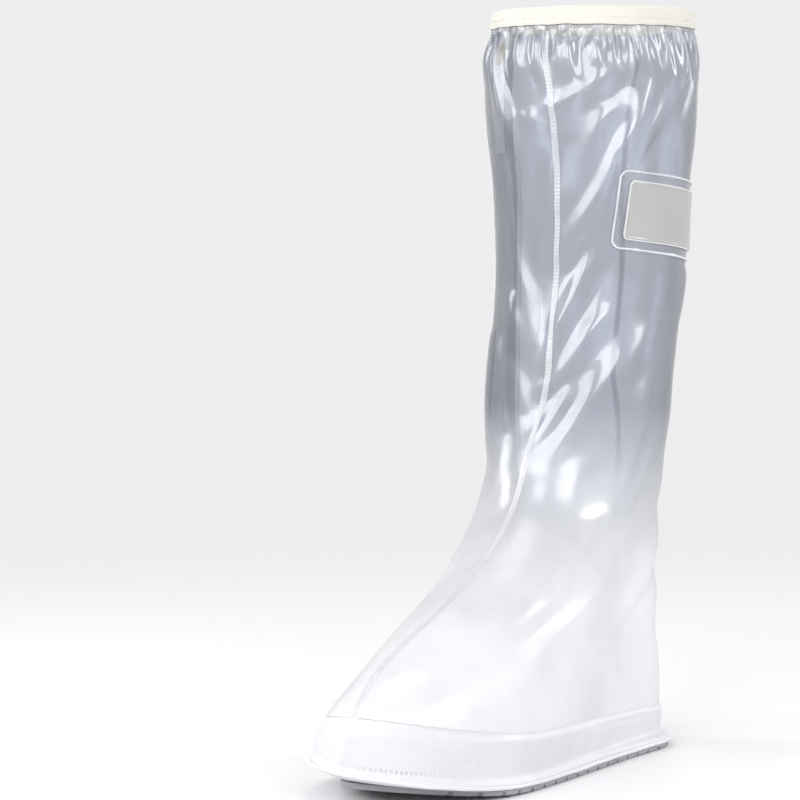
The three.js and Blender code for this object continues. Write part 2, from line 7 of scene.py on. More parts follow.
import bpy
import numpy as np
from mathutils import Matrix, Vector


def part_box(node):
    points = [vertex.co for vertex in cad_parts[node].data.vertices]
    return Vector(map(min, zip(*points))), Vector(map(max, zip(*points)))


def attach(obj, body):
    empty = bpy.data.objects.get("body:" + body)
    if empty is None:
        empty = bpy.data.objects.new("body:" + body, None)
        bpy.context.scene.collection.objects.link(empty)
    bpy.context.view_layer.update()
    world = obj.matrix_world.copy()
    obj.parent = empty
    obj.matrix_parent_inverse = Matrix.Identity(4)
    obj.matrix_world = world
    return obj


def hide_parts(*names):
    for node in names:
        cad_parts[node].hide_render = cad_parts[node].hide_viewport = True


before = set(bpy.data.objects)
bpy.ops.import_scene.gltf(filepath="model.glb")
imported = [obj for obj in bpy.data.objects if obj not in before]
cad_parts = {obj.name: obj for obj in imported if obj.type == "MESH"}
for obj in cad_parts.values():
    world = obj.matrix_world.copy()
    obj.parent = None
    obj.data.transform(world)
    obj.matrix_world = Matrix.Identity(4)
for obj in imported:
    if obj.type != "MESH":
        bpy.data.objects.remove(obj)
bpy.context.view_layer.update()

# Frame: the sole's middle is the origin of the sizes below
MM = 0.001
sole_low, sole_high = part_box("outsole")
ORIGIN = np.array([(sole_low.x + sole_high.x) / 2, (sole_low.y + sole_high.y) / 2, 0])

# Overall sizes
HEIGHT = 395
FILM = 0.5

# Sole
LIP_LENGTH = 284
LIP_WIDTH = 108
LIP_HEEL_WIDTH = 94
TOE_CURVE = 90
HEEL_CURVE = 44
TOE_POWER = 2.1
HEEL_POWER = 2.4
TREAD_INSET = 1.5
TREAD_TOE_INSET = 18
TREAD_HEIGHT = 3
LIP_BOTTOM = 3.15
LIP_TOP = 5.3
TOE_SPRING = 10.5
TOE_SPRING_REACH = 110
GROOVE_PITCH = 12.5
GROOVE_WIDTH = 2.8
GROOVE_DEPTH = 2
GROOVE_EDGE = 0.35
GROOVE_END_MARGIN = 12

# Rand and toe strip
RAND_SEAT = 0.5
RAND_FACE = 1.3
RAND_TOP_FACE = 0.06
RAND_FLARE = 2.6
RAND_HEEL_FLARE = 5
RAND_FLARE_HEIGHT = 5.5
RAND_HEEL_TOP = 22
RAND_SLOPE = 0.036
RAND_TOE_RISE = 12.5
RAND_RISE_START = -20
RAND_RISE_REACH = 118
EMBOSS_PITCH = 2.4
EMBOSS_HEIGHT = 0.6
TOE_STRIP_WIDTH = 7.5
TOE_STRIP_THICKNESS = 0.8
TOE_STRIP_LEAN = 7

# Film, band and gathers
FOOT_JOIN = 46
BAND_HEIGHT = 10.5
BAND_WALL = 1.2
BAND_GAP = 0.3
BAND_MOUTH = 8
BAND_BOTTOM = HEIGHT - BAND_HEIGHT
FILM_TOP = HEIGHT - 1.6
BAND_RIB_PITCH = 1.15
BAND_RIB_HEIGHT = 0.1
PLEAT_COUNT = 54
PLEAT_DEPTH = 2.5

# Zip
ZIP_BOTTOM = 93
ZIP_BOTTOM_Y = 86
ZIP_TOP_Y = 100
ZIP_SLOT_HALF = 7
ZIP_FLAT_HALF = 16
ZIP_FADE = 14
TAPE_WIDTH = 12.4
TAPE_START = 2.2
COIL_PITCH = 1.5
COIL_REACH = 2.6
COIL_RADIUS = 0.62
SLIDER_Z = 373

# Storm flap and patch
FLAP_BOTTOM = 118
FLAP_TOP = 318
FLAP_BEHIND = 16
FLAP_AHEAD = 48
PATCH_SHARE = 0.425
PATCH_Z = 285
PATCH_TILT = 6
PATCH_MARGIN = 0.5
PATCH_FADE = 6
PAD_SIZE = (78.5, 42.2, 5.5)
PLATE_SIZE = (66, 31.5, 3)

# Horizontal sections of the film's skin. Along Y: the front end, the end of the front curve, the start of the
# heel curve and the back end. Then the half widths, the sideways shift, the turn in degrees about the end of
# the front curve, and the powers of the two end curves.
SECTION_COLUMNS = (
    "z", "front", "ball", "heel", "back", "outer", "inner", "heel_half", "shift", "turn",
    "front_power", "back_power",
)
SECTION_ROWS = [
    [5, -136, -52, 98, 137, 49, 49, 39, 0, 0, 2.1, 2.4],
    [30, -137, -52, 98, 138, 49.5, 47, 39.5, 0, 0, 2, 2.4],
    [42, -135.5, -52, 96, 137.5, 49.5, 41.5, 40, 0, 0, 1.9, 2.4],
    [52, -126.5, -50, 94, 136.5, 49, 35, 40.5, 0, 0, 1.8, 2.3],
    [62, -113, -40, 92, 135, 47.5, 31, 40.5, 0, 0, 1.75, 2.2],
    [74, -88, -15, 90, 134.5, 46, 33, 41, 0, 0, 1.7, 2.2],
    [84, -61, 15, 90, 134.5, 45, 37, 41.5, 0, 0, 1.7, 2.2],
    [92, -41, 35, 88, 134.5, 44.5, 40.5, 41.5, 0, 0, 1.65, 2.1],
    [104, -18, 50, 86, 134, 44, 42, 42, 0, 0, 1.65, 2.1],
    [118, 4, 64, 86, 134.5, 44, 42, 42.5, 0, 0, 1.7, 2.1],
    [130, 18, 74, 86, 135.5, 44.5, 42.5, 43.5, 0, 0, 1.75, 2],
    [143, 27, 82, 88, 137, 45.5, 44.5, 45, 0.5, 0, 1.8, 2],
    [162, 35, 89, 90, 139.5, 47, 47, 46.5, 0.5, 1, 1.9, 2],
    [180, 40.5, 91, 91, 141.5, 48.5, 48.5, 48.5, 1, 4, 2, 2],
    [200, 43.5, 92.5, 92.5, 142.5, 49, 49, 49, 1.5, 8, 2, 2],
    [225, 46, 96, 96, 146, 49.5, 49.5, 49.5, 2, 8, 2, 2],
    [256, 49, 99.5, 99.5, 150, 50.5, 50.5, 50.5, 3, 8, 2, 2],
    [300, 47, 99.5, 99.5, 152, 52.5, 52.5, 52.5, 3.5, 9, 2, 2],
    [330, 43.5, 99.5, 99.5, 155.5, 56, 56, 56, 3.5, 8, 2, 2],
    [352, 42.5, 99.5, 99.5, 157, 57, 57, 57, 3.5, 6, 2, 2],
    [368, 42.5, 99.5, 99.5, 157, 56.5, 56.5, 56.5, 3.5, 3, 2, 2],
    [384, 46, 100, 100, 154, 53.5, 53.5, 53.5, 4, 2, 2, 2],
    [395, 47.5, 100, 100, 152.5, 52.5, 52.5, 52.5, 4, 2, 2, 2],
]

# Long folds in the film, from top to bottom, with a sideways bow in the middle. A share counts round the boot
# from the front seam at 0 to the back seam at 1 on the outer side and -1 on the inner side.
FOLD_COLUMNS = ("top_z", "top_share", "bottom_z", "bottom_share", "bow", "width", "height")
FOLD_ROWS = [
    [355, 0.304, 259, 0.022, 0, 6.5, 5.2],
    [352, 0.363, 273, 0.116, 0, 4.5, 3],
    [342, 0.168, 285, 0.011, 0, 5, 2.6],
    [289, 0.195, 203, -0.016, 0, 4, 3.2],
    [282, 0.133, 225, 0.022, 0, 4, 2.2],
    [238, 0.19, 191, -0.005, 0, 6, 2.2],
    [198, 0.088, 163, 0.009, 0, 4, 1.8],
    [234, 0.424, 155, 0.084, -0.055, 9, 2.2],
    [217, 0.389, 129, 0.363, 0, 6, 2.2],
    [160, 0.465, 126, 0.415, 0, 5, 2],
    [378, 0.513, 317, 0.258, 0.02, 5, 2.2],
    [360, 0.189, 337, -0.004, 0, 8, 2.6],
    [130, 0.3, 62, 0.12, 0, 9, 1.2],
    [135, 0.8, 70, 0.62, 0, 9, 1.4],
    [340, 0.78, 230, 0.6, 0, 8, 2],
    [373, -0.232, 317, -0.144, 0, 6, 3.2],
    [340, -0.091, 329, -0.034, 0, 6, 1.6],
    [288, -0.19, 214, -0.07, 0, 5, 2],
    [248, -0.195, 212, -0.117, 0, 6, 2],
    [227, -0.259, 172, -0.135, 0, 8, 1.6],
    [209, -0.153, 182, -0.057, 0, 5, 0.9],
    [226, -0.33, 158, -0.24, 0, 11, 2.4],
    [150, -0.3, 70, -0.1, 0, 9, 1.4],
    [330, -0.8, 220, -0.68, 0, 8, 2],
    [150, -0.85, 80, -0.68, 0, 9, 1.5],
]
# A fold's two flanks and the furrow beside the steep one, as shares of its width and height, the wavering of
# its line, and the power by which it fades towards its ends
STEEP_SIDE = 0.9
GENTLE_SIDE = 1.4
FURROW = 0.25
WAVER = 0.012
WAVER_CELL = 22
END_FADE = 0.5

# Lamps: name, azimuth in degrees with the toe at 0 and the outer side at 90, height over the boot's middle
# and distance from it in metres, size in metres, and radiance
LOOK_AT = (0, 60, 200)
LIGHT_ROWS = [
    ("left", -76, 0.75, 1.7, (0.45, 0.9), 7),
    ("front_left", -36, 0.8, 1.9, (0.8, 0.8), 5.5),
    ("near_left", 0, 0.8, 1.9, (1.5, 0.8), 4.5),
    ("near_right", 46, 0.85, 1.9, (0.7, 0.8), 5.5),
    ("front_high", 15, 1.4, 1.5, (0.6, 0.4), 5),
    ("right", 90, 0.8, 1.7, (0.35, 1.0), 8.5),
    ("right_back", 150, 0.8, 2.0, (0.45, 1.2), 7),
    ("left_back", -150, 0.8, 2.0, (0.45, 1.2), 6),
    ("top", 0, 2.2, 0.05, (0.9, 0.9), 2),
]

# Camera, from the photo's perspective
CAMERA_AZIMUTH = 30
CAMERA_DISTANCE = 1690
CAMERA_HEIGHT = 279
FOCAL_PIXELS = 3298
IMAGE_PIXELS = 800
AXIS_COLUMN = 492.4
HORIZON_ROW = 227.7
SENSOR_WIDTH = 36


# Curves and noise

NOISE_CELLS = 64


def smooth(t):
    t = np.clip(t, 0, 1)
    return t * t * (3 - 2 * t)


def lerp(a, b, t):
    return a + (b - a) * t


def bell(t):
    """A bump of height 1 at 0 that has faded away by 2."""
    return np.exp(-(t**2))


def unit(v):
    return v / np.maximum(np.linalg.norm(v, axis=-1, keepdims=True), 1e-12)


def turned(x, y, angle):
    return x * np.cos(angle) - y * np.sin(angle), x * np.sin(angle) + y * np.cos(angle)


def turns(count):
    """Even angles round a circle."""
    return np.linspace(0, 2 * math.pi, count, endpoint=False)


def even_points(path, count, closed=False):
    """Points at even distances along a flat path, without its last point where the path is closed."""
    run = np.concatenate([[0], np.cumsum(np.linalg.norm(np.diff(path, axis=0), axis=1))])
    at = np.linspace(0, run[-1], count, endpoint=not closed)
    return np.column_stack([np.interp(at, run, path[:, k]) for k in range(2)])


def value_noise(x, y, seed):
    """Smooth noise from -1 to 1 over two coordinates, with cells of size 1."""
    x, y = np.broadcast_arrays(np.asarray(x, float), np.asarray(y, float))
    i, j = np.floor(x).astype(int), np.floor(y).astype(int)
    u, v = smooth(x - i), smooth(y - j)
    table = np.random.default_rng(seed).uniform(-1, 1, (NOISE_CELLS, NOISE_CELLS))

    def corner(right, up):
        return table[(i + right) % NOISE_CELLS, (j + up) % NOISE_CELLS]

    return lerp(lerp(corner(0, 0), corner(1, 0), u), lerp(corner(0, 1), corner(1, 1), u), v)


# Smooth skin

SECTIONS = np.array(SECTION_ROWS, float)
KNOTS = SECTIONS[:, 0]
SECANTS = np.diff(SECTIONS, axis=0) / np.diff(KNOTS)[:, None]
SLOPES = np.vstack([SECANTS[:1], (SECANTS[1:] + SECANTS[:-1]) / 2, SECANTS[-1:]])
LOWEST_LEVEL = 4
LEVEL_STEP = 0.5
LEVEL_MARGIN = 2
LEVELS = np.arange(LOWEST_LEVEL, HEIGHT + LEVEL_MARGIN, LEVEL_STEP)
SHARE_STEPS = 240
SHARES = np.linspace(0, 1, SHARE_STEPS + 1)
CURVE_STEPS = 60


def section_at(z):
    """Every column of the section table at heights z, on a curve through its rows."""
    i = np.clip(np.searchsorted(KNOTS, z, side="right") - 1, 0, len(KNOTS) - 2)
    dz = (KNOTS[i + 1] - KNOTS[i])[:, None]
    t = (z - KNOTS[i])[:, None] / dz
    value = (2 * t**3 - 3 * t**2 + 1) * SECTIONS[i] + (3 * t**2 - 2 * t**3) * SECTIONS[i + 1]
    value += (t**3 - 2 * t**2 + t) * dz * SLOPES[i] + (t**3 - t**2) * dz * SLOPES[i + 1]
    return {name: value[:, [k]] for k, name in enumerate(SECTION_COLUMNS)}


def half_curve(t, ends, halves, powers):
    """Half an outline: a front curve, a side and a back curve, each through the steps t.

    The ends along Y are the front end, the end of the front curve, the start of the back curve and the back.
    """
    front, ball, heel, back = ends
    wide, narrow = halves
    front_power, back_power = (2 / power for power in powers)
    sine, cosine = np.sin(t * math.pi / 2), np.maximum(np.cos(t * math.pi / 2), 0)
    x = [wide * sine**front_power, lerp(wide, narrow, smooth(t)), narrow * cosine**back_power]
    y = [
        ball - (ball - front) * cosine**front_power,
        lerp(ball, heel, t) + 0 * wide,
        heel + (back - heel) * sine**back_power,
    ]
    return np.concatenate(x, -1), np.concatenate(y, -1)


def half_outlines(side):
    """Half of each level's outline, as points at even shares of its length, and that length."""
    s = section_at(LEVELS)
    ends = [s[name] for name in ("front", "ball", "heel", "back")]
    halves = (s["outer"] if side > 0 else s["inner"], s["heel_half"])
    t = np.linspace(0, 1, CURVE_STEPS)[None, :]
    x, y = half_curve(t, ends, halves, (s["front_power"], s["back_power"]))
    x, y = turned(side * x, y - s["ball"], np.radians(s["turn"]))
    points = np.stack([x + s["shift"], y + s["ball"]], -1)
    lengths = np.sum(np.linalg.norm(np.diff(points, axis=1), axis=-1), axis=1)
    return np.stack([even_points(level, len(SHARES)) for level in points]), lengths


OUTLINES, LENGTHS = map(np.array, zip(half_outlines(1), half_outlines(-1)))


def wrap_share(share):
    return np.where(share > 1, share - 2, np.where(share < -1, share + 2, share))


def base(share, z):
    """Points of the smooth skin. A share past the back seam runs on round the inner side."""
    share, z = np.broadcast_arrays(np.asarray(share, float), np.asarray(z, float))
    wrapped = wrap_share(share)
    side = (wrapped < 0).astype(int)
    u = np.abs(wrapped) * (len(SHARES) - 1)
    v = (z - LEVELS[0]) / LEVEL_STEP
    i = np.clip(u.astype(int), 0, len(SHARES) - 2)
    j = np.clip(v.astype(int), 0, len(LEVELS) - 2)
    fu, fv = (u - i)[..., None], (v - j)[..., None]
    low = lerp(OUTLINES[side, j, i], OUTLINES[side, j, i + 1], fu)
    high = lerp(OUTLINES[side, j + 1, i], OUTLINES[side, j + 1, i + 1], fu)
    return np.concatenate([lerp(low, high, fv), z[..., None]], -1)


def base_normal(share, z, share_step=0.006, z_step=1.0):
    share = np.asarray(share, float)
    across = base(share + share_step, z) - base(share - share_step, z)
    up = base(share, z + z_step) - base(share, z - z_step)
    return unit(np.cross(across, up))


def half_length(share, z):
    share, z = np.broadcast_arrays(np.asarray(share, float), np.asarray(z, float))
    outer, inner = (np.interp(z, LEVELS, LENGTHS[k]) for k in range(2))
    return np.where(wrap_share(share) < 0, inner, outer)


def zip_share(z):
    """Share of the zip's middle line, on the inner side."""
    return -np.interp(z, LEVELS, ZIP_SHARES)


def zip_line_y(z):
    return lerp(ZIP_BOTTOM_Y, ZIP_TOP_Y, np.clip((z - ZIP_BOTTOM) / (HEIGHT - ZIP_BOTTOM), 0, 1))


ZIP_SHARES = np.array([np.interp(zip_line_y(z), OUTLINES[1, k, :, 1], SHARES) for k, z in enumerate(LEVELS)])


def toe_lift(y):
    t = np.clip((TOE_SPRING_REACH - LIP_LENGTH / 2 - y) / TOE_SPRING_REACH, 0, 1)
    return TOE_SPRING * t * t


def rand_top(y):
    t = np.clip((RAND_RISE_START - y) / RAND_RISE_REACH, 0, 1)
    return RAND_HEEL_TOP + RAND_SLOPE * (LIP_LENGTH / 2 - y) + RAND_TOE_RISE * t * t


def sole_outline(inset, count):
    """The lip's outline drawn in by the inset, from the toe over the outer side to the heel and back."""
    end = LIP_LENGTH / 2
    ends = (inset - end, TOE_CURVE - end, end - HEEL_CURVE, end - inset)
    halves = (LIP_WIDTH / 2 - inset, LIP_HEEL_WIDTH / 2 - inset)
    curve = half_curve(np.linspace(0, 1, CURVE_STEPS * 2), ends, halves, (TOE_POWER, HEEL_POWER))
    half = even_points(np.column_stack(curve), count // 2 + 1)
    return np.vstack([half, half[-2:0:-1] * [-1, 1]])


LIP_POINTS = 520
BRIM_TURN = math.radians(60)
BRIM_AWAY = np.array([-math.sin(BRIM_TURN), -math.cos(BRIM_TURN)])
BRIM_OUT = 1.6
BRIM_UP = 9
BRIM_REACH = 32
BRIM_WIDTH = 24
FILM_INSET = 4
lip_rim = sole_outline(0, LIP_POINTS)
BRIM_CORNER = lip_rim[np.argmax(lip_rim @ BRIM_AWAY)]


def brim(points, inset):
    """How far the lip bends out and up to a brim, from 0 to 1: most at the inner corner of the toe."""
    near = bell(np.linalg.norm(points - BRIM_CORNER, axis=-1) / BRIM_REACH)
    return smooth(1 - inset / BRIM_WIDTH) * near


def lip_top(points):
    """Height of the lip's upper face where the film and the rand stand on it."""
    return LIP_TOP + toe_lift(points[..., 1]) + BRIM_UP * brim(points[..., :2], FILM_INSET)


LIP_CLEARANCE = 0.2
FOOT_PASSES = 6


def foot_height(share, t, top, level=0.0):
    """Height of points between the lip (0) and a top (1) that follows the foot."""
    z = np.full(np.broadcast(share, t).shape, float(RAND_HEEL_TOP))
    for _ in range(FOOT_PASSES):
        points = base(share, z) + level * base_normal(share, z)
        z = lerp(lip_top(points) + LIP_CLEARANCE, top(points[..., 1]), t)
    return z


def foot_join(y):
    return np.full_like(y, FOOT_JOIN)


# Folds

FOLDS = [dict(zip(FOLD_COLUMNS, row)) for row in FOLD_ROWS]
PLEAT_DRIFT = 0.9
PLEAT_SWAY = 0.3
PLEAT_SHORT = 10
PLEAT_LONG = 36
PLEAT_POWER = 1.3
ZIP_HOLD_BELOW = 8
FAR = 1e3

# Unevenness of the film before it folds: height, cell round the boot, cell up it, and seed
UNEVEN_ROWS = [(0.5, 24, 80, 9), (0.12, 11, 45, 10)]
UNEVEN_LEAN = 0.45
PUCKER_ROW = (1.2, 7, 60, 11)
PUCKER_REACH = 50
HALF_GIRTH = 180

# Where the film is held: up to the foot's middle, and inside the band
HOLD_START = FOOT_JOIN + 8
HOLD_REACH = 36
HOLD_TOP = BAND_BOTTOM + 1
HOLD_TOP_REACH = 6

# Slack of the film, as shares of its length
SLACK_ROUND = 0.0012
SLACK_UP = 0.0008
SLACK_BAND = 0.1
SLACK_BAND_REACH = 46
SLACK_ANKLE = 0.002
ANKLE_Z = 140
ANKLE_REACH = 38
SLACK_SLANT = 0.002
SLANT_START = 85
SLANT_REACH = 70
SLANT_TOP_REACH = 40


def fine_pleats(share, z):
    """Short pleats hanging from the band's lower edge, most of them only as long as they are wide."""
    below = np.maximum(BAND_BOTTOM - z, 0)
    around = np.where(share < 0, share + 2, share)
    phase = PLEAT_COUNT * around / 2 + PLEAT_DRIFT * value_noise(around * 14, 0.5, 3)
    phase = phase + PLEAT_SWAY * value_noise(around * 9, below / 14, 4)
    pleat = np.floor(phase)
    reach = lerp(PLEAT_SHORT, PLEAT_LONG, (0.5 + 0.5 * value_noise(pleat + 0.5, 0.5, 5)) ** 2)
    depth = PLEAT_DEPTH * (0.6 + 0.4 * value_noise(pleat + 0.5, 8.5, 6))
    valley = np.abs(np.cos(math.pi * (phase - pleat - 0.5))) ** PLEAT_POWER
    return -depth * valley * smooth(1 - below / reach) * smooth(0.35 + below / 4)


def long_folds(share, z):
    height = np.zeros(np.broadcast(share, z).shape)
    for k, fold in enumerate(FOLDS):
        t = np.clip((fold["top_z"] - z) / (fold["top_z"] - fold["bottom_z"]), 0, 1)
        line = lerp(fold["top_share"], fold["bottom_share"], t) + 4 * fold["bow"] * t * (1 - t)
        line = line + WAVER * value_noise(z / WAVER_CELL, k + 0.5, 12)
        off = (share - line) * half_length(share, z) / fold["width"]
        ridge = bell(off / np.where(off > 0, STEEP_SIDE, GENTLE_SIDE))
        furrow = FURROW * bell((off - 2 * STEEP_SIDE) / STEEP_SIDE)
        height += fold["height"] * np.sin(math.pi * t) ** END_FADE * (ridge - furrow)
    return height


def flatness(share, z):
    """0 where the zip or the patch holds the film flat, 1 away from them."""
    length = half_length(share, z)
    beside_zip = (share < 0) & (z > ZIP_BOTTOM - ZIP_HOLD_BELOW)
    from_zip = np.where(beside_zip, np.abs(share - zip_share(z)) * length, FAR)
    across, up = turned((share - PATCH_SHARE) * length, z - PATCH_Z, math.radians(PATCH_TILT))
    beside = np.abs(across) - PAD_SIZE[0] / 2 - PATCH_MARGIN
    over = np.abs(up) - PAD_SIZE[1] / 2 - PATCH_MARGIN
    from_patch = np.where(share > 0, np.maximum(np.maximum(beside, over), 0), FAR)
    return smooth((from_zip - ZIP_FLAT_HALF) / ZIP_FADE) * smooth(from_patch / PATCH_FADE)


def uneven(row, around, z):
    height, wide, tall, seed = row
    return height * value_noise(around / wide, z / tall, seed)


def start_relief(share, z):
    """The film's shape before it folds: the long folds, and a faint unevenness that starts more of them."""
    wrapped = wrap_share(share)
    around = share * HALF_GIRTH
    lean = around + UNEVEN_LEAN * z * np.where(wrapped < 0, -1, 1)
    below = np.maximum(BAND_BOTTOM - z, 0)
    relief = long_folds(wrapped, z) + sum(uneven(row, lean, z) for row in UNEVEN_ROWS)
    relief = relief + uneven(PUCKER_ROW, around, z) * smooth(1 - below / PUCKER_REACH)
    return relief * flatness(wrapped, z) * foot_hold(z)


def foot_hold(z):
    """0 on the foot's lowest part and inside the band, 1 between them."""
    return smooth((z - HOLD_START) / HOLD_REACH) * smooth((HOLD_TOP - z) / HOLD_TOP_REACH)


def slack(share, z):
    """How much longer the film is than the smooth skin: round the boot, up it, and along a slant."""
    wrapped = wrap_share(share)
    below = np.maximum(BAND_BOTTOM - z, 0)
    ankle = SLACK_ANKLE * bell((z - ANKLE_Z) / ANKLE_REACH)
    hold = flatness(wrapped, z) * foot_hold(z)
    across = SLACK_ROUND + SLACK_BAND * smooth(1 - below / SLACK_BAND_REACH) + ankle
    leg = smooth(below / SLANT_TOP_REACH) * smooth((z - SLANT_START) / SLANT_REACH)
    slant = np.where(wrapped < 0, -1, 1) * SLACK_SLANT * leg
    return across * hold, (SLACK_UP + ankle) * hold, slant * hold


def skin(share, z, height=0.0):
    """Points at a height over the smooth skin."""
    height = np.asarray(height, float)
    return base(share, z) + base_normal(share, z) * height[..., None]


# Meshes

MATERIALS = {}


def add_piece(name, points, faces, material, slot, replaced=()):
    """A new piece of the boot from points in millimetres and lists of faces."""
    mesh = bpy.data.meshes.new(name)
    mesh.from_pydata((np.asarray(points) * MM + ORIGIN).tolist(), [], [list(map(int, f)) for f in faces])
    mesh.validate()
    mesh.polygons.foreach_set("use_smooth", [True] * len(mesh.polygons))
    mesh.materials.append(MATERIALS[material])
    piece = bpy.data.objects.new(name, mesh)
    bpy.context.scene.collection.objects.link(piece)
    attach(piece, "root")
    if replaced:
        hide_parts(*replaced)
    return piece


def quads(a, b, c, d):
    return np.stack([np.ravel(a), np.ravel(b), np.ravel(c), np.ravel(d)], -1)


def shell(outer, inner, kept=None):
    """A closed solid between two grids of points. Rows run up and columns to the right, seen from outside."""
    rows, columns = outer.shape[:2]
    index = np.arange(rows * columns).reshape(rows, columns)
    inside = index + rows * columns
    kept = np.ones((rows - 1, columns - 1), bool) if kept is None else kept
    ring = np.pad(kept, 1)
    faces = [
        quads(index[:-1, :-1][kept], index[:-1, 1:][kept], index[1:, 1:][kept], index[1:, :-1][kept]),
        quads(inside[:-1, :-1][kept], inside[1:, :-1][kept], inside[1:, 1:][kept], inside[:-1, 1:][kept]),
    ]
    edges = [
        (ring[:-2, 1:-1], index[:-1, :-1], index[:-1, 1:]),
        (ring[1:-1, 2:], index[:-1, 1:], index[1:, 1:]),
        (ring[2:, 1:-1], index[1:, 1:], index[1:, :-1]),
        (ring[1:-1, :-2], index[1:, :-1], index[:-1, :-1]),
    ]
    for neighbour, start, stop in edges:
        rim = kept & ~neighbour
        a, b = start[rim], stop[rim]
        faces.append(quads(b, a, a + rows * columns, b + rows * columns))
    faces = np.vstack(faces)
    used, faces = np.unique(faces, return_inverse=True)
    points = np.concatenate([outer.reshape(-1, 3), inner.reshape(-1, 3)])[used]
    return points, faces.reshape(-1, 4)


def join(parts):
    """Several lists of points and faces as one."""
    points, faces, start = [], [], 0
    for p, f in parts:
        points.append(p)
        faces.extend([[i + start for i in face] for face in f])
        start += len(p)
    return np.vstack(points), faces


def rings(loops, closed=False):
    """A tube through loops of points, closed at its ends by strips from side to side."""
    loops = np.asarray(loops, float)
    count, size = loops.shape[:2]
    index = np.arange(count * size).reshape(count, size)
    right = np.roll(index, -1, axis=1)
    faces = quads(index[:-1], right[:-1], right[1:], index[1:]).tolist()
    if closed:
        faces += quads(index[-1], right[-1], right[0], index[0]).tolist()
    else:
        for loop, flip in ((index[0], True), (index[-1], False)):
            half = size // 2
            caps = [[loop[0], loop[1], loop[-1]], [loop[half - 1], loop[half], loop[half + 1]]]
            caps += [[loop[k], loop[k + 1], loop[-k - 1], loop[-k]] for k in range(1, half - 1)]
            faces += [cap[::-1] for cap in caps] if flip else caps
    return loops.reshape(-1, 3), faces


def grid_normals(grid, closed=False):
    if closed:
        across = np.roll(grid, -1, axis=1) - np.roll(grid, 1, axis=1)
    else:
        across = np.gradient(grid, axis=1)
    return unit(np.cross(across, np.gradient(grid, axis=0)))


def refine(grid, times, axis, closed=False):
    """The grid with more points along an axis, on smooth curves through its own."""
    grid = np.moveaxis(grid, axis, 0)
    n = len(grid)
    at = np.arange(n * times if closed else (n - 1) * times + 1) / times
    i = np.minimum(at.astype(int), n - 1 if closed else n - 2)
    t = (at - i).reshape(-1, *[1] * (grid.ndim - 1))
    ends = "wrap" if closed else "clip"
    p, q, r, s = (np.take(grid, i + k, axis=0, mode=ends) for k in (-1, 0, 1, 2))
    fine = q + 0.5 * t * (r - p + t * (2 * p - 5 * q + 4 * r - s + t * (3 * (q - r) + s - p)))
    return np.moveaxis(fine, 0, axis)


# Film: a loop of columns round the boot, from the front seam over the outer side to the back seam and on

CELLS_OUTER = 48
CELLS_BEHIND_ZIP = 20
CELLS_IN_SLOT = 4
CELLS_BEFORE_ZIP = 24
FOOT_ROWS = 5
ROW_STEP = 6.3

# Steps of the folding on the first grid and after each halving of its cells, the stiffness of its links, and
# how far a fold reaches in and out
FIRST_STEPS = 220
HALVING_STEPS = (220, 40)
SCALE = 2 ** len(HALVING_STEPS)
BACK_COLUMN = CELLS_OUTER * SCALE
STRETCH = 1.0
SHEAR = 0.5
BEND = 0.6
BEND_SLACK = 0.6
HELD = 0.02
CLAMP_EVERY = 10
FOLD_IN = 4.5
FOLD_OUT = 4.0
SMOOTHINGS = 3

# On the leg the folded film is mixed with its plain long folds, from the ankle up to the gathers
LEG_CALM = 0.85
CALM_START = 140
CALM_REACH = 30
CALM_TOP = BAND_BOTTOM - 12
CALM_TOP_REACH = 24


def film_rows():
    """Heights of the film's rows over the foot, one of them at the zip's end and one at the band's edge."""
    rows = []
    for low, high in ((FOOT_JOIN, ZIP_BOTTOM), (ZIP_BOTTOM, BAND_BOTTOM)):
        rows.append(np.linspace(low, high, round((high - low) / ROW_STEP) + 1)[1:])
    return np.concatenate([*rows, [FILM_TOP]])


def film_columns(z):
    """Shares of the columns at heights z, from 0 round to 2. The zip's slot lies between whole columns."""
    z = np.atleast_1d(z)
    middle = 2 + zip_share(np.maximum(z, ZIP_BOTTOM))[:, None]
    slot = (ZIP_SLOT_HALF / np.interp(z, LEVELS, LENGTHS[1]))[:, None]
    one = np.ones_like(middle)
    ends = [0 * one, one, middle - slot, middle + slot, 2 * one]
    cells = (CELLS_OUTER, CELLS_BEHIND_ZIP, CELLS_IN_SLOT, CELLS_BEFORE_ZIP)
    steps = [np.linspace(0, 1, count, endpoint=False) for count in cells]
    return np.hstack([lerp(a, b, t) for a, b, t in zip(ends, ends[1:], steps)])


def halve(grid, last):
    """The grid with one more row and column in each cell. Its loop of columns closes at the last one."""
    full = np.hstack([grid, last])
    columns = np.stack([grid, (full[:, :-1] + full[:, 1:]) / 2], -1).reshape(len(grid), -1)
    fine = np.empty((2 * len(grid) - 1, columns.shape[1]))
    fine[::2], fine[1::2] = columns, (columns[:-1] + columns[1:]) / 2
    return fine


def pull(points, free, a, b, rest, stiffness, push_only=False):
    """Moves the two points of each pair towards their rest distance."""
    gap = points[b] - points[a]
    length = np.linalg.norm(gap, axis=-1)
    off = length - rest
    if push_only:
        off = np.minimum(off, 0)
    step = stiffness * off / np.maximum(length * (free[a] + free[b]), 1e-9)
    points[a] += (free[a] * step)[..., None] * gap
    points[b] -= (free[b] * step)[..., None] * gap


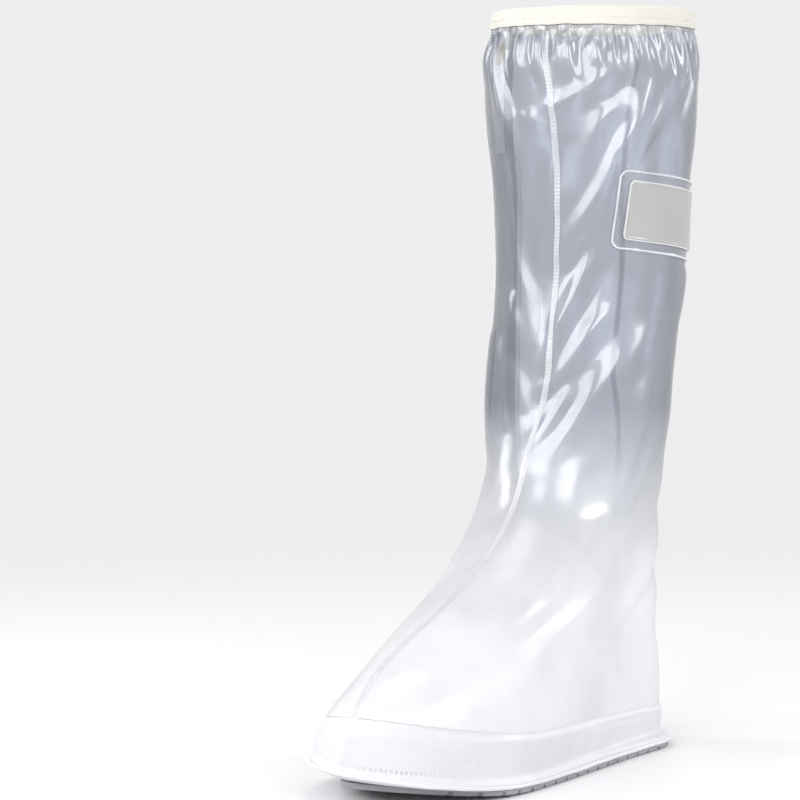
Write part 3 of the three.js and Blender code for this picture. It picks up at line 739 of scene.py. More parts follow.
def links(shares, z):
    """Pairs of grid points in groups that share no point, with their rest distances on the slack film."""
    slack_skin = skin(shares, z, start_relief(shares, z))
    rows, columns = np.arange(shares.shape[0]), np.arange(shares.shape[1])
    across, up, slant = slack(shares, z)
    diagonal = (across + up) / 2
    groups = []

    def right(some, count):
        return (some + count) % len(columns)

    def add(row_a, row_b, column_a, column_b, stretch, stiffness, push_only=False):
        a, b = np.ix_(row_a, column_a), np.ix_(row_b, column_b)
        rest = np.linalg.norm(slack_skin[b] - slack_skin[a], axis=-1)
        groups.append((a, b, rest * (1 + (stretch[a] + stretch[b]) / 2), stiffness, push_only))

    for odd in (0, 1):
        some = columns[odd::2]
        add(rows, rows, some, right(some, 1), across, STRETCH)
        some = rows[odd:-1:2]
        add(some, some + 1, columns, columns, up, STRETCH)
        add(some, some + 1, columns, right(columns, 1), diagonal - slant, SHEAR)
        add(some, some + 1, columns, right(columns, -1), diagonal + slant, SHEAR)
        some = columns[columns // 2 % 2 == odd]
        add(rows, rows, some, right(some, 2), BEND_SLACK * across, BEND, True)
        some = rows[:-2][rows[:-2] // 2 % 2 == odd]
        add(some, some + 2, columns, columns, BEND_SLACK * up, BEND, True)
    return groups


def fold_film(points, shares, z, steps):
    """Lets the slack film settle into folds between the places that hold it."""
    free = ((flatness(wrap_share(shares), z) > HELD) & (foot_hold(z) > HELD)).astype(float)
    skin_points, out = base(shares, z), base_normal(shares, z)
    groups = links(shares, z)
    for step in range(1, steps + 1):
        for a, b, rest, stiffness, push_only in groups:
            pull(points, free, a, b, rest, stiffness, push_only)
        if step % CLAMP_EVERY == 0:
            height = np.sum((points - skin_points) * out, axis=-1, keepdims=True)
            points += out * (np.clip(height, -FOLD_IN, FOLD_OUT) - height)
    return points


level_rows = film_rows()
film_shares = np.vstack([np.repeat(film_columns(FOOT_JOIN), FOOT_ROWS, axis=0), film_columns(level_rows)])
foot_z = foot_height(film_shares[:FOOT_ROWS], np.linspace(0, 1, FOOT_ROWS)[:, None], foot_join)
film_z = np.vstack([foot_z, np.repeat(level_rows[:, None], film_shares.shape[1], axis=1)])
zip_row = FOOT_ROWS + int(np.argmin(np.abs(level_rows - ZIP_BOTTOM)))
film_grid = skin(film_shares, film_z, start_relief(film_shares, film_z))
film_grid = fold_film(film_grid, film_shares, film_z, FIRST_STEPS)
for steps in HALVING_STEPS:
    film_shares = halve(film_shares, np.full((len(film_shares), 1), 2.0))
    film_z = halve(film_z, film_z[:, :1])
    film_grid = refine(refine(film_grid, 2, 1, closed=True), 2, 0)
    film_grid = fold_film(film_grid, film_shares, film_z, steps)
smooth_film = base(film_shares, film_z)
plain_folds = base_normal(film_shares, film_z) * start_relief(film_shares, film_z)[..., None]
calm = LEG_CALM * smooth((film_z - CALM_START) / CALM_REACH) * smooth((CALM_TOP - film_z) / CALM_TOP_REACH)
film_bend = lerp(film_grid - smooth_film, plain_folds, calm[..., None])
for _ in range(SMOOTHINGS):
    film_bend = (np.roll(film_bend, 1, axis=1) + 2 * film_bend + np.roll(film_bend, -1, axis=1)) / 4
    film_bend[1:-1] = (film_bend[:-2] + 2 * film_bend[1:-1] + film_bend[2:]) / 4
film_fine = smooth_film + film_bend
pleats = fine_pleats(wrap_share(film_shares), film_z) * flatness(wrap_share(film_shares), film_z)
film_fine = film_fine + grid_normals(film_fine, closed=True) * pleats[..., None]
film_normals = grid_normals(film_fine, closed=True)


def make_film():
    """The two halves of the film, the inner one slit for the zip."""
    inside = film_fine - FILM * film_normals
    rows, columns = film_fine.shape[:2]
    loop = np.arange(columns + 1) % columns
    slit = np.ones((rows - 1, columns - BACK_COLUMN), bool)
    slit[zip_row * SCALE :, CELLS_BEHIND_ZIP * SCALE : (CELLS_BEHIND_ZIP + CELLS_IN_SLOT) * SCALE] = False
    pieces = []
    for side, half, kept in (("outer", loop[: BACK_COLUMN + 1], None), ("inner", loop[BACK_COLUMN:], slit)):
        mesh = shell(film_fine[:, half], inside[:, half], kept)
        pieces.append(add_piece(f"film_{side}", *mesh, "film", "film", [f"panel_{side}"]))
    return pieces


# Half of a seam's profile as distances from its middle and heights, and the crimps across it
SEAM_PROFILE = np.array([(0, 0.62), (0.55, 0.5), (1.0, 0.3), (1.5, 0.22), (1.7, 0.05)])
SEAM_DEPTH = 0.1
SEAM_CRIMP = 0.1
SEAM_CRIMP_PITCH = 2.0
SEAM_START = 0.5
SEAM_FINER = 4


def make_seam(name, column):
    """A welded strip over the joint of the two film halves, crimped across."""
    start = rand_top(film_fine[FOOT_ROWS * SCALE, column, 1]) + SEAM_START
    bottom_row = int(np.argmax(film_fine[:, column, 2] > start))
    top_row = (FOOT_ROWS + len(level_rows) - 2) * SCALE - 1
    rows = slice(bottom_row, top_row)
    middle = film_fine[rows, column]
    ahead = unit(film_fine[rows, (column + 2) % film_fine.shape[1]] - middle)
    behind = unit(film_fine[rows, column - 2] - middle)
    lines = (middle, ahead, behind, film_normals[rows, column])
    middle, ahead, behind, out = (refine(line, SEAM_FINER, 0)[:, None] for line in lines)
    run = np.cumsum(np.linalg.norm(np.diff(middle, axis=0, prepend=middle[:1]), axis=-1), axis=0)[..., None]
    offsets, lifts = np.vstack([SEAM_PROFILE[:0:-1] * [-1, 1], SEAM_PROFILE]).T[..., None]
    inside = np.abs(offsets) < SEAM_PROFILE[-1, 0]
    crimp = SEAM_CRIMP * np.cos(2 * math.pi * run / SEAM_CRIMP_PITCH) * inside
    flat = middle + np.where(offsets > 0, ahead, behind) * np.abs(offsets)
    mesh = shell(flat + out * (lifts + crimp), flat - out * SEAM_DEPTH)
    return add_piece(name, *mesh, "weld", "weld", [name])


# Sole: the lip's profile as insets and heights, from its underside round its edge to its upper face

LIP_PROFILE = [
    *[(inset, LIP_BOTTOM) for inset in (40, 30, 18, 12, 7, 3)],
    (0.9, 3.2), (0.3, 3.45), (0, 4.0), (0.05, 4.6), (0.35, 5.1), (0.9, 5.32), (1.8, 5.3), (3.2, 5.2),
    *[(inset, LIP_TOP) for inset in (5, 8, 12, 18, 30, 40)],
]
LIP_EDGE = 6
LIP_CURL = 1.2
LIP_CURL_START = -118
LIP_CURL_REACH = 24
LIP_RIPPLE = 0.25
LIP_RIPPLE_POINTS = 13

# The tread: half of a groove's profile as distances and heights, its ends, how it draws in towards the toe on
# each side, and its lower corners
GROOVE_PROFILE = [
    (GROOVE_WIDTH / 2 + GROOVE_EDGE, 0),
    (GROOVE_WIDTH / 2 + GROOVE_EDGE * 0.3, 0.12),
    (GROOVE_WIDTH / 2, 0.4),
    (GROOVE_WIDTH / 2 - 0.3, GROOVE_DEPTH),
]
TREAD_END = 0.02
TREAD_END_STEPS = 14
TREAD_POINTS = 4000
TREAD_INNER_START = -25
TREAD_OUTER_START = -70
TREAD_DRAW_REACH = 55
TREAD_CORNER = 0.8
TREAD_CORNER_START = 0.15
TREAD_CORNER_HEIGHTS = (2.2, 1.0, 0.15, 0)


def make_lip():
    """The thin lip and insole plate."""
    ripple = LIP_RIPPLE * value_noise(np.arange(LIP_POINTS) / LIP_RIPPLE_POINTS, 0.5, 31)
    loops = []
    for inset, z in LIP_PROFILE:
        outline = sole_outline(inset, LIP_POINTS)
        curl = LIP_CURL * smooth((LIP_CURL_START - outline[:, 1]) / LIP_CURL_REACH)
        bend = brim(outline, inset)
        height = z + toe_lift(outline[:, 1]) + smooth(1 - inset / LIP_EDGE) * (curl + ripple) + BRIM_UP * bend
        loops.append(np.column_stack([outline + BRIM_OUT * bend[:, None] * BRIM_AWAY, height]))
    return add_piece("lip", *rings(loops), "vinyl", "white_vinyl", ["welt"])


def make_tread():
    """The tread, swept from toe to heel through rounded rectangles, with grooves across its underside."""
    toe, heel = TREAD_TOE_INSET - LIP_LENGTH / 2, LIP_LENGTH / 2 - TREAD_INSET
    room = GROOVE_END_MARGIN + GROOVE_WIDTH
    first, last = math.ceil((toe + room) / GROOVE_PITCH), math.floor((heel - room) / GROOVE_PITCH)
    stations = [(toe + TREAD_END, 0), (heel - TREAD_END, 0)]
    for t in np.linspace(0, 1, TREAD_END_STEPS)[1:]:
        d = GROOVE_END_MARGIN * (1 - math.cos(t * math.pi / 2))
        stations += [(toe + d, 0), (heel - d, 0)]
    for k in range(first, last + 1):
        for off, raised in GROOVE_PROFILE:
            stations += [(k * GROOVE_PITCH - off, raised), (k * GROOVE_PITCH + off, raised)]
    outlines = [sole_outline(inset, TREAD_POINTS) for inset in (TREAD_INSET, TREAD_TOE_INSET)]
    outlines = [outline[: TREAD_POINTS // 2 + 1] for outline in outlines]
    loops = []
    for y, raised in sorted(stations):
        wide, narrow = (np.interp(y, outline[:, 1], outline[:, 0]) for outline in outlines)
        left = lerp(wide, narrow, smooth((TREAD_INNER_START - y) / TREAD_DRAW_REACH))
        right = lerp(wide, narrow, smooth((TREAD_OUTER_START - y) / TREAD_DRAW_REACH))
        corner = min(TREAD_CORNER, narrow / 2)
        inward = np.array([0, TREAD_CORNER_START, corner, 2 * corner])
        up = np.maximum(TREAD_CORNER_HEIGHTS, raised)
        x = np.concatenate([inward - left, (right - inward)[::-1], [right, right / 3, -left / 3, -left]])
        z = np.concatenate([up, up[::-1], [TREAD_HEIGHT] * 4])
        loops.append(np.column_stack([x, np.full(len(x), y), z + toe_lift(y)]))
    points, faces = rings(loops)
    return add_piece("tread", points, [face[::-1] for face in faces], "tread", "tread", ["outsole"])


# Rand

RAND_COLUMNS = 1560
RAND_ROWS = 52
RAND_TAPER = 3.5
RAND_TOE_TAPER = 9
RAND_TOE_START = -60
RAND_TOE_REACH = 60
RAND_HEEL_START = 20
RAND_HEEL_REACH = 80
RAND_TOP_SEAT = 0.02
RAND_UNEVEN = 0.3
RAND_SINK = 0.5
RAND_SINK_HEIGHT = 1.5
JOINT_FADE = 20

# Emboss: the plain strips under and over it, its fade, and its height towards the heel
EMBOSS_BOTTOM = 2
EMBOSS_TOP = 2.5
EMBOSS_FADE = 2
EMBOSS_HEEL = 0.1
EMBOSS_HEEL_START = -15
EMBOSS_HEEL_REACH = 80

# Lines round the heel: height, distance under the rand's top and half width
HEEL_LINES = [(0.25, 2.2, 0.8), (0.2, 7, 0.9)]
HEEL_LINE_START = 10
HEEL_LINE_REACH = 60

# Notches over the lower edge at the toe
NOTCH_DEPTH = 1.1
NOTCH_SHARE = 0.07
NOTCH_SPREAD = 0.06
NOTCH_UP = 4
NOTCH_HALF = 1.5


def rand_grid(level, shares):
    """Shares and heights of the rand's rows, and their steps from its foot (0) to its top (1)."""
    share = np.repeat(shares[None, :], RAND_ROWS, axis=0)
    steps = np.linspace(0, 1, RAND_ROWS)[:, None]
    return share, foot_height(share, steps, rand_top, level), steps


def rand_level(points, up, height):
    """Level of the rand's plain face over the film: flush at its top, and flared out on to the lip."""
    y = points[..., 1]
    taper = lerp(RAND_TAPER, RAND_TOE_TAPER, smooth((RAND_TOE_START - y) / RAND_TOE_REACH))
    flush = (RAND_FACE - RAND_TOP_FACE) * smooth(1 - (height - up) / taper)
    flare = lerp(RAND_FLARE, RAND_HEEL_FLARE, smooth((y - RAND_HEEL_START) / RAND_HEEL_REACH))
    return RAND_FACE - flush + flare * smooth(1 - up / RAND_FLARE_HEIGHT) ** 2


def rand_height(points):
    return rand_top(points[..., 1]) - lip_top(points)


def rand_relief(share, points, up, height):
    """Height of the emboss, the heel's lines and the toe's notches over the rand's plain face."""
    y, middle = points[..., 1], points[RAND_ROWS // 2]
    run = np.cumsum(np.linalg.norm(np.diff(middle, axis=0, prepend=middle[-1:]), axis=-1))[None, :]
    around = run[0, -1]
    pitch = around / round(around / EMBOSS_PITCH)
    under_top = height - up
    diamonds = np.sin(math.pi * (run + up) / pitch) * np.sin(math.pi * (run - up) / pitch)
    inside = smooth((up - EMBOSS_BOTTOM) / EMBOSS_FADE) * smooth((under_top - EMBOSS_TOP) / EMBOSS_FADE)
    patchy = 0.75 + 0.25 * value_noise(run / 40, up / 12, 17)
    fade = lerp(1, EMBOSS_HEEL, smooth((y - EMBOSS_HEEL_START) / EMBOSS_HEEL_REACH))
    relief = EMBOSS_HEIGHT * np.sqrt(np.abs(diamonds)) * inside * patchy * fade
    heel = smooth((y - HEEL_LINE_START) / HEEL_LINE_REACH)
    for line_height, below, half in HEEL_LINES:
        relief += line_height * heel * bell((under_top - below) / half)
    from_joint = smooth(np.minimum(run, around - run) / JOINT_FADE)
    relief += RAND_UNEVEN * value_noise(run / 34, up / 20, 23) * smooth(under_top / 6) * from_joint
    notches = np.maximum(np.cos(2 * math.pi * run / pitch), 0) * bell((share - NOTCH_SHARE) / NOTCH_SPREAD)
    return relief - NOTCH_DEPTH * notches * smooth(1 - np.abs(up - NOTCH_UP) / NOTCH_HALF)


def make_rand():
    """The strip round the foot, embossed with small diamonds that fade towards the heel."""
    shares = np.linspace(0, 2, RAND_COLUMNS, endpoint=False)
    share, z, steps = rand_grid(RAND_FACE, shares)
    points = base(share, z)
    height = rand_height(points)
    up = steps * height
    level = rand_level(points, up, height) + rand_relief(share, points, up, height)
    outer = points + base_normal(share, z) * level[..., None]
    outer[..., 2] -= RAND_SINK * smooth(1 - up / RAND_SINK_HEIGHT)
    share, z, steps = rand_grid(RAND_SEAT, shares)
    inner = skin(share, z, lerp(RAND_SEAT, RAND_TOP_SEAT, steps))
    # The hidden inner face needs only its two edges.
    loops = np.concatenate([outer, inner[-1:], inner[:1]])
    return add_piece("rand", *rings(loops, closed=True), "rand", "white_vinyl", ["rand"])


TOE_STRIP_ROWS = 60
TOE_STRIP_COLUMNS = 21
TOE_STRIP_Z = 24
TOE_STRIP_END = 0.08
TOE_STRIP_EDGE = 0.12
TOE_STRIP_POWER = 1.5
TOE_STRIP_DEPTH = 0.3


def make_toe_strip():
    """A soft ridge over the rand's joint, leaning to the inner side at its foot."""
    across = np.linspace(-1, 1, TOE_STRIP_COLUMNS)[None, :]
    steps = np.linspace(0, 1, TOE_STRIP_ROWS)[:, None]
    off = across * TOE_STRIP_WIDTH / 2 - TOE_STRIP_LEAN * (1 - steps)
    share = off / half_length(0.0, TOE_STRIP_Z)
    z = foot_height(share, steps, rand_top, RAND_FACE)
    points = base(share, z)
    height = rand_height(points)
    face = rand_level(points, steps * height, height)
    ends = smooth(np.minimum(steps, 1 - steps) / TOE_STRIP_END)
    crown = TOE_STRIP_THICKNESS * np.cos(across * math.pi / 2) ** TOE_STRIP_POWER * ends
    mesh = shell(skin(share, z, face + TOE_STRIP_EDGE + crown), skin(share, z, face - TOE_STRIP_DEPTH))
    return add_piece("toe_strip", *mesh, "vinyl", "white_vinyl", ["toe_strip"])


# Elastic band

BAND_COLUMNS = 640
BAND_ROWS = 30
BAND_TURN_STEPS = 13
BAND_HEM = 0.35
BAND_HEM_WIDTH = 0.7
BAND_SWAY = 0.35
BAND_WAVE = 0.9
BAND_DROP = 0.6
BAND_SCALLOP = 0.35
STITCH_Z = 388.2
STITCH_PITCH = 3.1
STITCH_SHARE = 0.95 / 170
STITCH_ZIGZAG = 0.35
STITCH_LIFT = 0.12
STITCH_RADIUS = 0.24
STITCH_MARGIN = 14


def band_profile(offset):
    """The folded tape's levels and heights, up the outside, over the top and down the inside."""
    middle = -FILM / 2
    half = FILM / 2 + BAND_GAP + BAND_WALL / 2
    bend_z = HEIGHT - half - BAND_WALL / 2
    up = np.linspace(BAND_BOTTOM, bend_z, BAND_ROWS)
    over = np.linspace(0, math.pi, BAND_TURN_STEPS)[1:-1]
    reach = half + offset
    side = np.full(BAND_ROWS, reach)
    level = middle + np.concatenate([side, reach * np.cos(over), -side])
    return level[:, None], np.concatenate([up, bend_z + reach * np.sin(over), up[::-1]])[:, None]


def band_shares():
    """Shares along the band from the zip round to the zip, counted on past the front seam at 2."""
    mouth = BAND_MOUTH / 2 / half_length(-1.0, BAND_BOTTOM)
    start = 2 + zip_share(BAND_BOTTOM)
    return np.linspace(start + mouth, start + 2 - mouth, BAND_COLUMNS)


def make_band():
    """The ribbed tape folded over the film's top edge, open at the zip."""
    around = band_shares()[None, :] % 2
    wave = BAND_WAVE * value_noise(around * 7, 0.3, 43) - BAND_DROP
    scallop = BAND_SCALLOP * value_noise(around * 30, 0.6, 44)
    grids = []
    for offset in (BAND_WALL / 2, -BAND_WALL / 2):
        level, z = band_profile(offset)
        up = z - BAND_BOTTOM
        rib = BAND_RIB_HEIGHT * np.cos(2 * math.pi * up / BAND_RIB_PITCH)
        rib = rib - BAND_HEM * bell(up / BAND_HEM_WIDTH)
        sway = BAND_SWAY * value_noise(around * 22, z / 14, 41)
        tall = smooth(up / BAND_HEIGHT)
        grid = skin(around, z, level + np.sign(level) * rib * (offset > 0) + sway)
        grid[..., 2] += np.minimum(z + tall * wave + (1 - tall) * scallop, HEIGHT) - z
        grids.append(grid)
    return add_piece("elastic_band", *shell(*grids), "elastic", "elastic", ["top_band"])


def capsule(a, b, radius, sides=8, rounds=3):
    """Threads or teeth: straight rods with round ends, along rows of start and end points."""
    along = unit(b - a)
    helper = np.where(np.abs(along[:, 2:]) > 0.8, [[1.0, 0, 0]], [[0, 0, 1.0]])
    u = unit(np.cross(along, helper))
    v = np.cross(along, u)
    turn = turns(sides)[None, :, None]
    circle = u[:, None] * np.cos(turn) + v[:, None] * np.sin(turn)
    bend = np.linspace(0.12, 1, rounds) * math.pi / 2
    loops = []
    for end, way, angles in ((a, -along, bend), (b, along, bend[::-1])):
        for angle in angles:
            tip = end + way * radius * math.cos(angle)
            loops.append(tip[:, None] + circle * radius * math.sin(angle))
    return join([rings(rod) for rod in np.stack(loops, 1)])


def make_band_stitches():
    """Dotted stitches along the lower half of the band."""
    around = band_shares()
    length = np.sum(np.linalg.norm(np.diff(base(around % 2, STITCH_Z), axis=0), axis=1))
    count = int(length / STITCH_PITCH)
    centre = np.linspace(around[STITCH_MARGIN], around[-STITCH_MARGIN - 1], count)
    level = np.full(count, BAND_GAP + BAND_WALL + STITCH_LIFT)
    zig = STITCH_ZIGZAG * (-1) ** np.arange(count)
    a = skin((centre - STITCH_SHARE) % 2, STITCH_Z - zig, level)
    b = skin((centre + STITCH_SHARE) % 2, STITCH_Z + zig, level)
    return add_piece("band_stitches", *capsule(a, b, STITCH_RADIUS), "thread", "elastic")


# Zip

TAPE_ROWS = 240
TAPE_COLUMNS = 14
TAPE_TOP = BAND_BOTTOM - 0.4
TAPE_LEVEL = 1.15
TAPE_UNDER = 0.35
TAPE_WAVE = 0.35
TAPE_WAVER = 0.5
TAPE_BEAD = 0.25
TAPE_BEAD_PLACE = 0.94
TAPE_BEAD_HALF = 0.05
TAPE_STITCH_PLACES = (0.62, 0.93)
TAPE_STITCH_PITCH = 3.2
TAPE_STITCH_LENGTH = 2.1
TAPE_STITCH_LEVEL = 1.28
TAPE_STITCH_RADIUS = 0.22
TAPE_STITCH_BOTTOM = ZIP_BOTTOM + 2
TAPE_STITCH_TOP = BAND_BOTTOM - 3
COIL_MARGIN = 1.5
COIL_SLANT = 0.25
COIL_LEVEL = 1.0
COIL_OVER = 0.35
COIL_OVER_LEVEL = 1.35


def zip_point(offset, z, level):
    """Points on the zip at distances forward of its middle line."""
    offset, z, level = np.broadcast_arrays(offset, z, level)
    return skin(zip_share(z) + offset / half_length(-1.0, z), z, level)


def tape_wave(side, across, z):
    return TAPE_WAVE * value_noise(z / 13, across * 2 + side, 52)


def make_tape(name, side):
    """The tape ahead of the coil (1) or behind it (-1), with a thicker outer edge."""
    z = np.linspace(ZIP_BOTTOM, TAPE_TOP, TAPE_ROWS)[:, None]
    across = np.linspace(0, 1, TAPE_COLUMNS)[None, :]
    waver = TAPE_WAVER * value_noise(z / 26, side * 3.3, 51) * across
    offset = side * (TAPE_START + TAPE_WIDTH * across) + waver
    wave = tape_wave(side, across, z)
    bead = TAPE_BEAD * bell((across - TAPE_BEAD_PLACE) / TAPE_BEAD_HALF)
    levels = (TAPE_LEVEL + wave + bead, TAPE_UNDER + wave)
    mesh = shell(*(zip_point(offset, z, level)[:, ::side] for level in levels))
    return add_piece(name, *mesh, "tape", "zip_tape", [name])


def make_coil():
    z = np.arange(ZIP_BOTTOM + COIL_MARGIN, BAND_BOTTOM - COIL_MARGIN, COIL_PITCH / 2)
    reach = COIL_REACH * (-1.0) ** np.arange(len(z))
    a = zip_point(reach, z - COIL_SLANT, COIL_LEVEL)
    b = zip_point(-reach * COIL_OVER, z + COIL_SLANT, COIL_OVER_LEVEL)
    return add_piece("zip_coil", *capsule(a, b, COIL_RADIUS), "coil", "zip_coil", ["zip_teeth"])


def make_tape_stitches():
    z = np.arange(TAPE_STITCH_BOTTOM, TAPE_STITCH_TOP, TAPE_STITCH_PITCH)
    parts = []
    for side in (-1, 1):
        for across in TAPE_STITCH_PLACES:
            offset = side * (TAPE_START + TAPE_WIDTH * across)
            level = TAPE_STITCH_LEVEL + tape_wave(side, across, z)
            a, b = (zip_point(offset, z + along, level) for along in (0, TAPE_STITCH_LENGTH))
            parts.append(capsule(a, b, TAPE_STITCH_RADIUS))
    return add_piece("zip_stitches", *join(parts), "thread", "zip_tape")


# Slider and pull, in millimetres forward, up and out of the zip. A plate has a half width, a half length and
# the roundness of its corners.
SLIDER_PLATE = (4.1, 6.0, 0.6)
SLIDER_TAPER = 0.25
SLIDER_LEVELS = [(-0.2, 0.7), (2.0, 3.2)]
SLIDER_EDGE = 0.35
NECK_PLATE = (1.2, 1.6, 0.8)
NECK_UP = 3.6
NECK_LEVELS = (0.4, 2.4)
NECK_EDGE = 0.1
BRIDGE_REACH = 3.6
BRIDGE_LEVEL = 3.0
BRIDGE_RISE = 1.9
BRIDGE_POWER = 0.8
BRIDGE_HALF_WIDTH = 0.85
BRIDGE_HALF_THICKNESS = 0.4
BRIDGE_STEPS = 17
BRIDGE_SIDES = 12
PULL_POINTS = 40
PULL_PLATE = (2.7, 7.2, 0.7)
PULL_TAPER = -0.12
PULL_HALF = 0.55
PULL_ROUND = 0.06
PULL_HOLE = (1.25, 1.5)
PULL_HOLE_UP = 4.6
PULL_LEAN = math.radians(9)
PULL_PLACE = (0, -5.4, 5.1)
ROUND_STEPS = 5


def rounded_plate(outline, bottom, top, edge):
    """A plate with round edges from a closed outline, as loops between two levels."""
    angle = np.linspace(0, math.pi / 2, ROUND_STEPS)
    sine, cosine = np.sin(angle), np.cos(angle)
    insets = edge * (1 - np.concatenate([sine, cosine]))
    levels = np.concatenate([bottom + edge * (1 - cosine), top - edge * (1 - sine)])
    centre = outline.mean(axis=0)
    away = outline - centre
    size = np.linalg.norm(away, axis=1, keepdims=True)
    loops = []
    for inset, level in zip(insets, levels):
        loops.append(np.column_stack([centre + away * (1 - inset / size), np.full(len(outline), level)]))
    return loops


def rounded_outline(half_width, half_length, corner, count=48, taper=0.0):
    turn = turns(count)
    power = 2 / (2 + 6 * (1 - corner))
    x = half_width * np.sign(np.cos(turn)) * np.abs(np.cos(turn)) ** power
    y = half_length * np.sign(np.sin(turn)) * np.abs(np.sin(turn)) ** power
    return np.column_stack([x * (1 + taper * y / half_length), y])


def add_on_zip(name, points, faces):
    """A metal piece on the zip, from points forward, up and out of its middle line at the slider."""
    origin, above, under = (zip_point(0, SLIDER_Z + step, 0.0) for step in (0.0, 1.0, -1.0))
    out = base_normal(zip_share(np.array([SLIDER_Z])), np.array([SLIDER_Z]))[0]
    across = unit(np.cross(above - under, out))
    placed = origin + points @ np.array([across, np.cross(out, across), out])
    return add_piece(name, placed, faces, "metal", "zip_metal", [name])


def make_slider():
    """Slider: two plates joined at the top, with a bridge that carries the pull."""
    plate = rounded_outline(*SLIDER_PLATE, taper=SLIDER_TAPER)
    parts = [rings(rounded_plate(plate, *levels, SLIDER_EDGE)) for levels in SLIDER_LEVELS]
    neck = rounded_outline(*NECK_PLATE) + [0, NECK_UP]
    parts.append(rings(rounded_plate(neck, *NECK_LEVELS, NECK_EDGE)))
    t = np.linspace(0, math.pi, BRIDGE_STEPS)
    rise = BRIDGE_LEVEL + BRIDGE_RISE * np.sin(t) ** BRIDGE_POWER
    arch = np.column_stack([0 * t, BRIDGE_REACH * np.cos(t), rise])
    ends = np.pad(arch, ((1, 1), (0, 0)), mode="edge")
    side = np.array([1.0, 0, 0])
    up = np.cross(unit(ends[2:] - ends[:-2]), side)[:, None]
    turn = turns(BRIDGE_SIDES)[:, None]
    section = BRIDGE_HALF_WIDTH * np.cos(turn) * side + BRIDGE_HALF_THICKNESS * np.sin(turn) * up
    parts.append(rings(arch[:, None] + section))
    return add_on_zip("zip_slider", *join(parts))


def make_pull():
    """Pull tab: a thin plate with a hole at its top end, hanging from the slider's bridge."""
    outline = rounded_outline(*PULL_PLATE, PULL_POINTS, PULL_TAPER)
    turn = turns(PULL_POINTS)
    hole = np.column_stack([np.cos(turn), np.sin(turn)]) * PULL_HOLE + [0, PULL_HOLE_UP]
    loops = []
    for angle in np.linspace(-math.pi / 2, math.pi / 2, ROUND_STEPS):
        edge = outline * (1 - PULL_ROUND * (1 - math.cos(angle)))
        loops.append(np.column_stack([edge, np.full(PULL_POINTS, PULL_HALF * math.sin(angle))]))
    for level in (PULL_HALF, -PULL_HALF):
        loops.append(np.column_stack([hole, np.full(PULL_POINTS, level)]))
    points, faces = rings(loops, closed=True)
    x, y, z = points.T
    leaned = np.column_stack([x, y * math.cos(PULL_LEAN), z + y * math.sin(PULL_LEAN)])
    return add_on_zip("zip_pull", leaned + PULL_PLACE, faces)


# Storm flap and patch

FLAP_ROWS = 120
FLAP_COLUMNS = 44
FLAP_WAVER = 3.5
FLAP_SAG = 2.5
FLAP_LEVEL = -FILM - 0.6

# Patch: rows and columns, levels over the film, rims along the edges and ripples
PATCH_COLUMNS = 110
PAD_ROWS = 60
PAD_UNDER = 0.12
PAD_LEVEL = 0.55
PAD_RIM = 0.7
PAD_RIM_INSET = 0.7
PAD_RIM_HALF = 0.45
PAD_RIPPLE = 0.12
PLATE_ROWS = 56
PLATE_UNDER = 0.75
PLATE_LEVEL = 0.95
PLATE_THICKNESS = 0.75
PLATE_EDGE = 1.3
PLATE_RIM = 0.22
PLATE_RIM_INSET = 1.1
PLATE_RIM_HALF = 0.5
PLATE_RIPPLE = 0.22
PLATE_FINE_RIPPLE = 0.1

# The patch's raised borders, white vinyl beads that also paint the highlight lines along the edges: name,
# plate, inset, width, level and height
BEAD_ROWS = [
    ("patch_border_painted_highlight", PAD_SIZE, 0.8, 1.1, 0.75, 0.5),
    ("plate_border_painted_highlight", PLATE_SIZE, 0.45, 0.7, 1.35, 0.4),
]
BEAD_POINTS = 360
BEAD_SIDES = 10
BEAD_UNDER = -0.2
BEAD_WOBBLE = 0.25
CORNER_POINTS = 10


def make_flap():
    """The film flap behind the zip."""
    z = np.linspace(FLAP_BOTTOM, FLAP_TOP, FLAP_ROWS)[:, None]
    across = np.linspace(0, 1, FLAP_COLUMNS)[None, :]
    offset = lerp(-FLAP_BEHIND, FLAP_AHEAD + FLAP_WAVER * value_noise(z / 45, 0.4, 61), across)
    sag = FLAP_SAG * across**2 * (0.6 + 0.6 * value_noise(z / 30, across * 2, 62))
    mesh = shell(*(zip_point(offset, z, FLAP_LEVEL - sag - depth) for depth in (0, FILM)))
    return add_piece("inner_flap", *mesh, "flap", "film", ["storm_flap"])


def patch_grid(size, columns, rows):
    """Points of a plate with round corners: distances across and up, and how far each lies inside."""
    width, height, corner = size
    up = -np.cos(np.linspace(0, math.pi, rows))[:, None] * height / 2
    deep = np.maximum(np.abs(up) - height / 2 + corner, 0)
    half = width / 2 - corner + np.sqrt(np.maximum(corner**2 - deep**2, 0))
    across = np.sin(np.linspace(-1, 1, columns) * math.pi / 2)[None, :] * half
    up = up + 0 * across
    qx, qy = np.abs(across) - width / 2 + corner, np.abs(up) - height / 2 + corner
    outside = np.hypot(np.maximum(qx, 0), np.maximum(qy, 0)) + np.minimum(np.maximum(qx, qy), 0) - corner
    return across, up, -outside


def patch_point(across, up, level):
    """Points at a level over the film, at distances from the patch's middle."""
    a, b = turned(across, up, -math.radians(PATCH_TILT))
    return skin(PATCH_SHARE + a / np.interp(PATCH_Z, LEVELS, LENGTHS[0]), PATCH_Z + b, level)


def border_path(size, inset):
    """A loop of points along a rounded rectangle, drawn in by the inset."""
    width, height, corner = size[0] - 2 * inset, size[1] - 2 * inset, size[2] - inset
    loop = []
    for k, (x, y) in enumerate(((1, 1), (-1, 1), (-1, -1), (1, -1))):
        centre = np.array([x * (width / 2 - corner), y * (height / 2 - corner)])
        angle = (np.linspace(0, 1, CORNER_POINTS) + k) * math.pi / 2
        loop.append(centre + corner * np.column_stack([np.cos(angle), np.sin(angle)]))
    return even_points(np.vstack([*loop, loop[0][:1]]), BEAD_POINTS, closed=True)


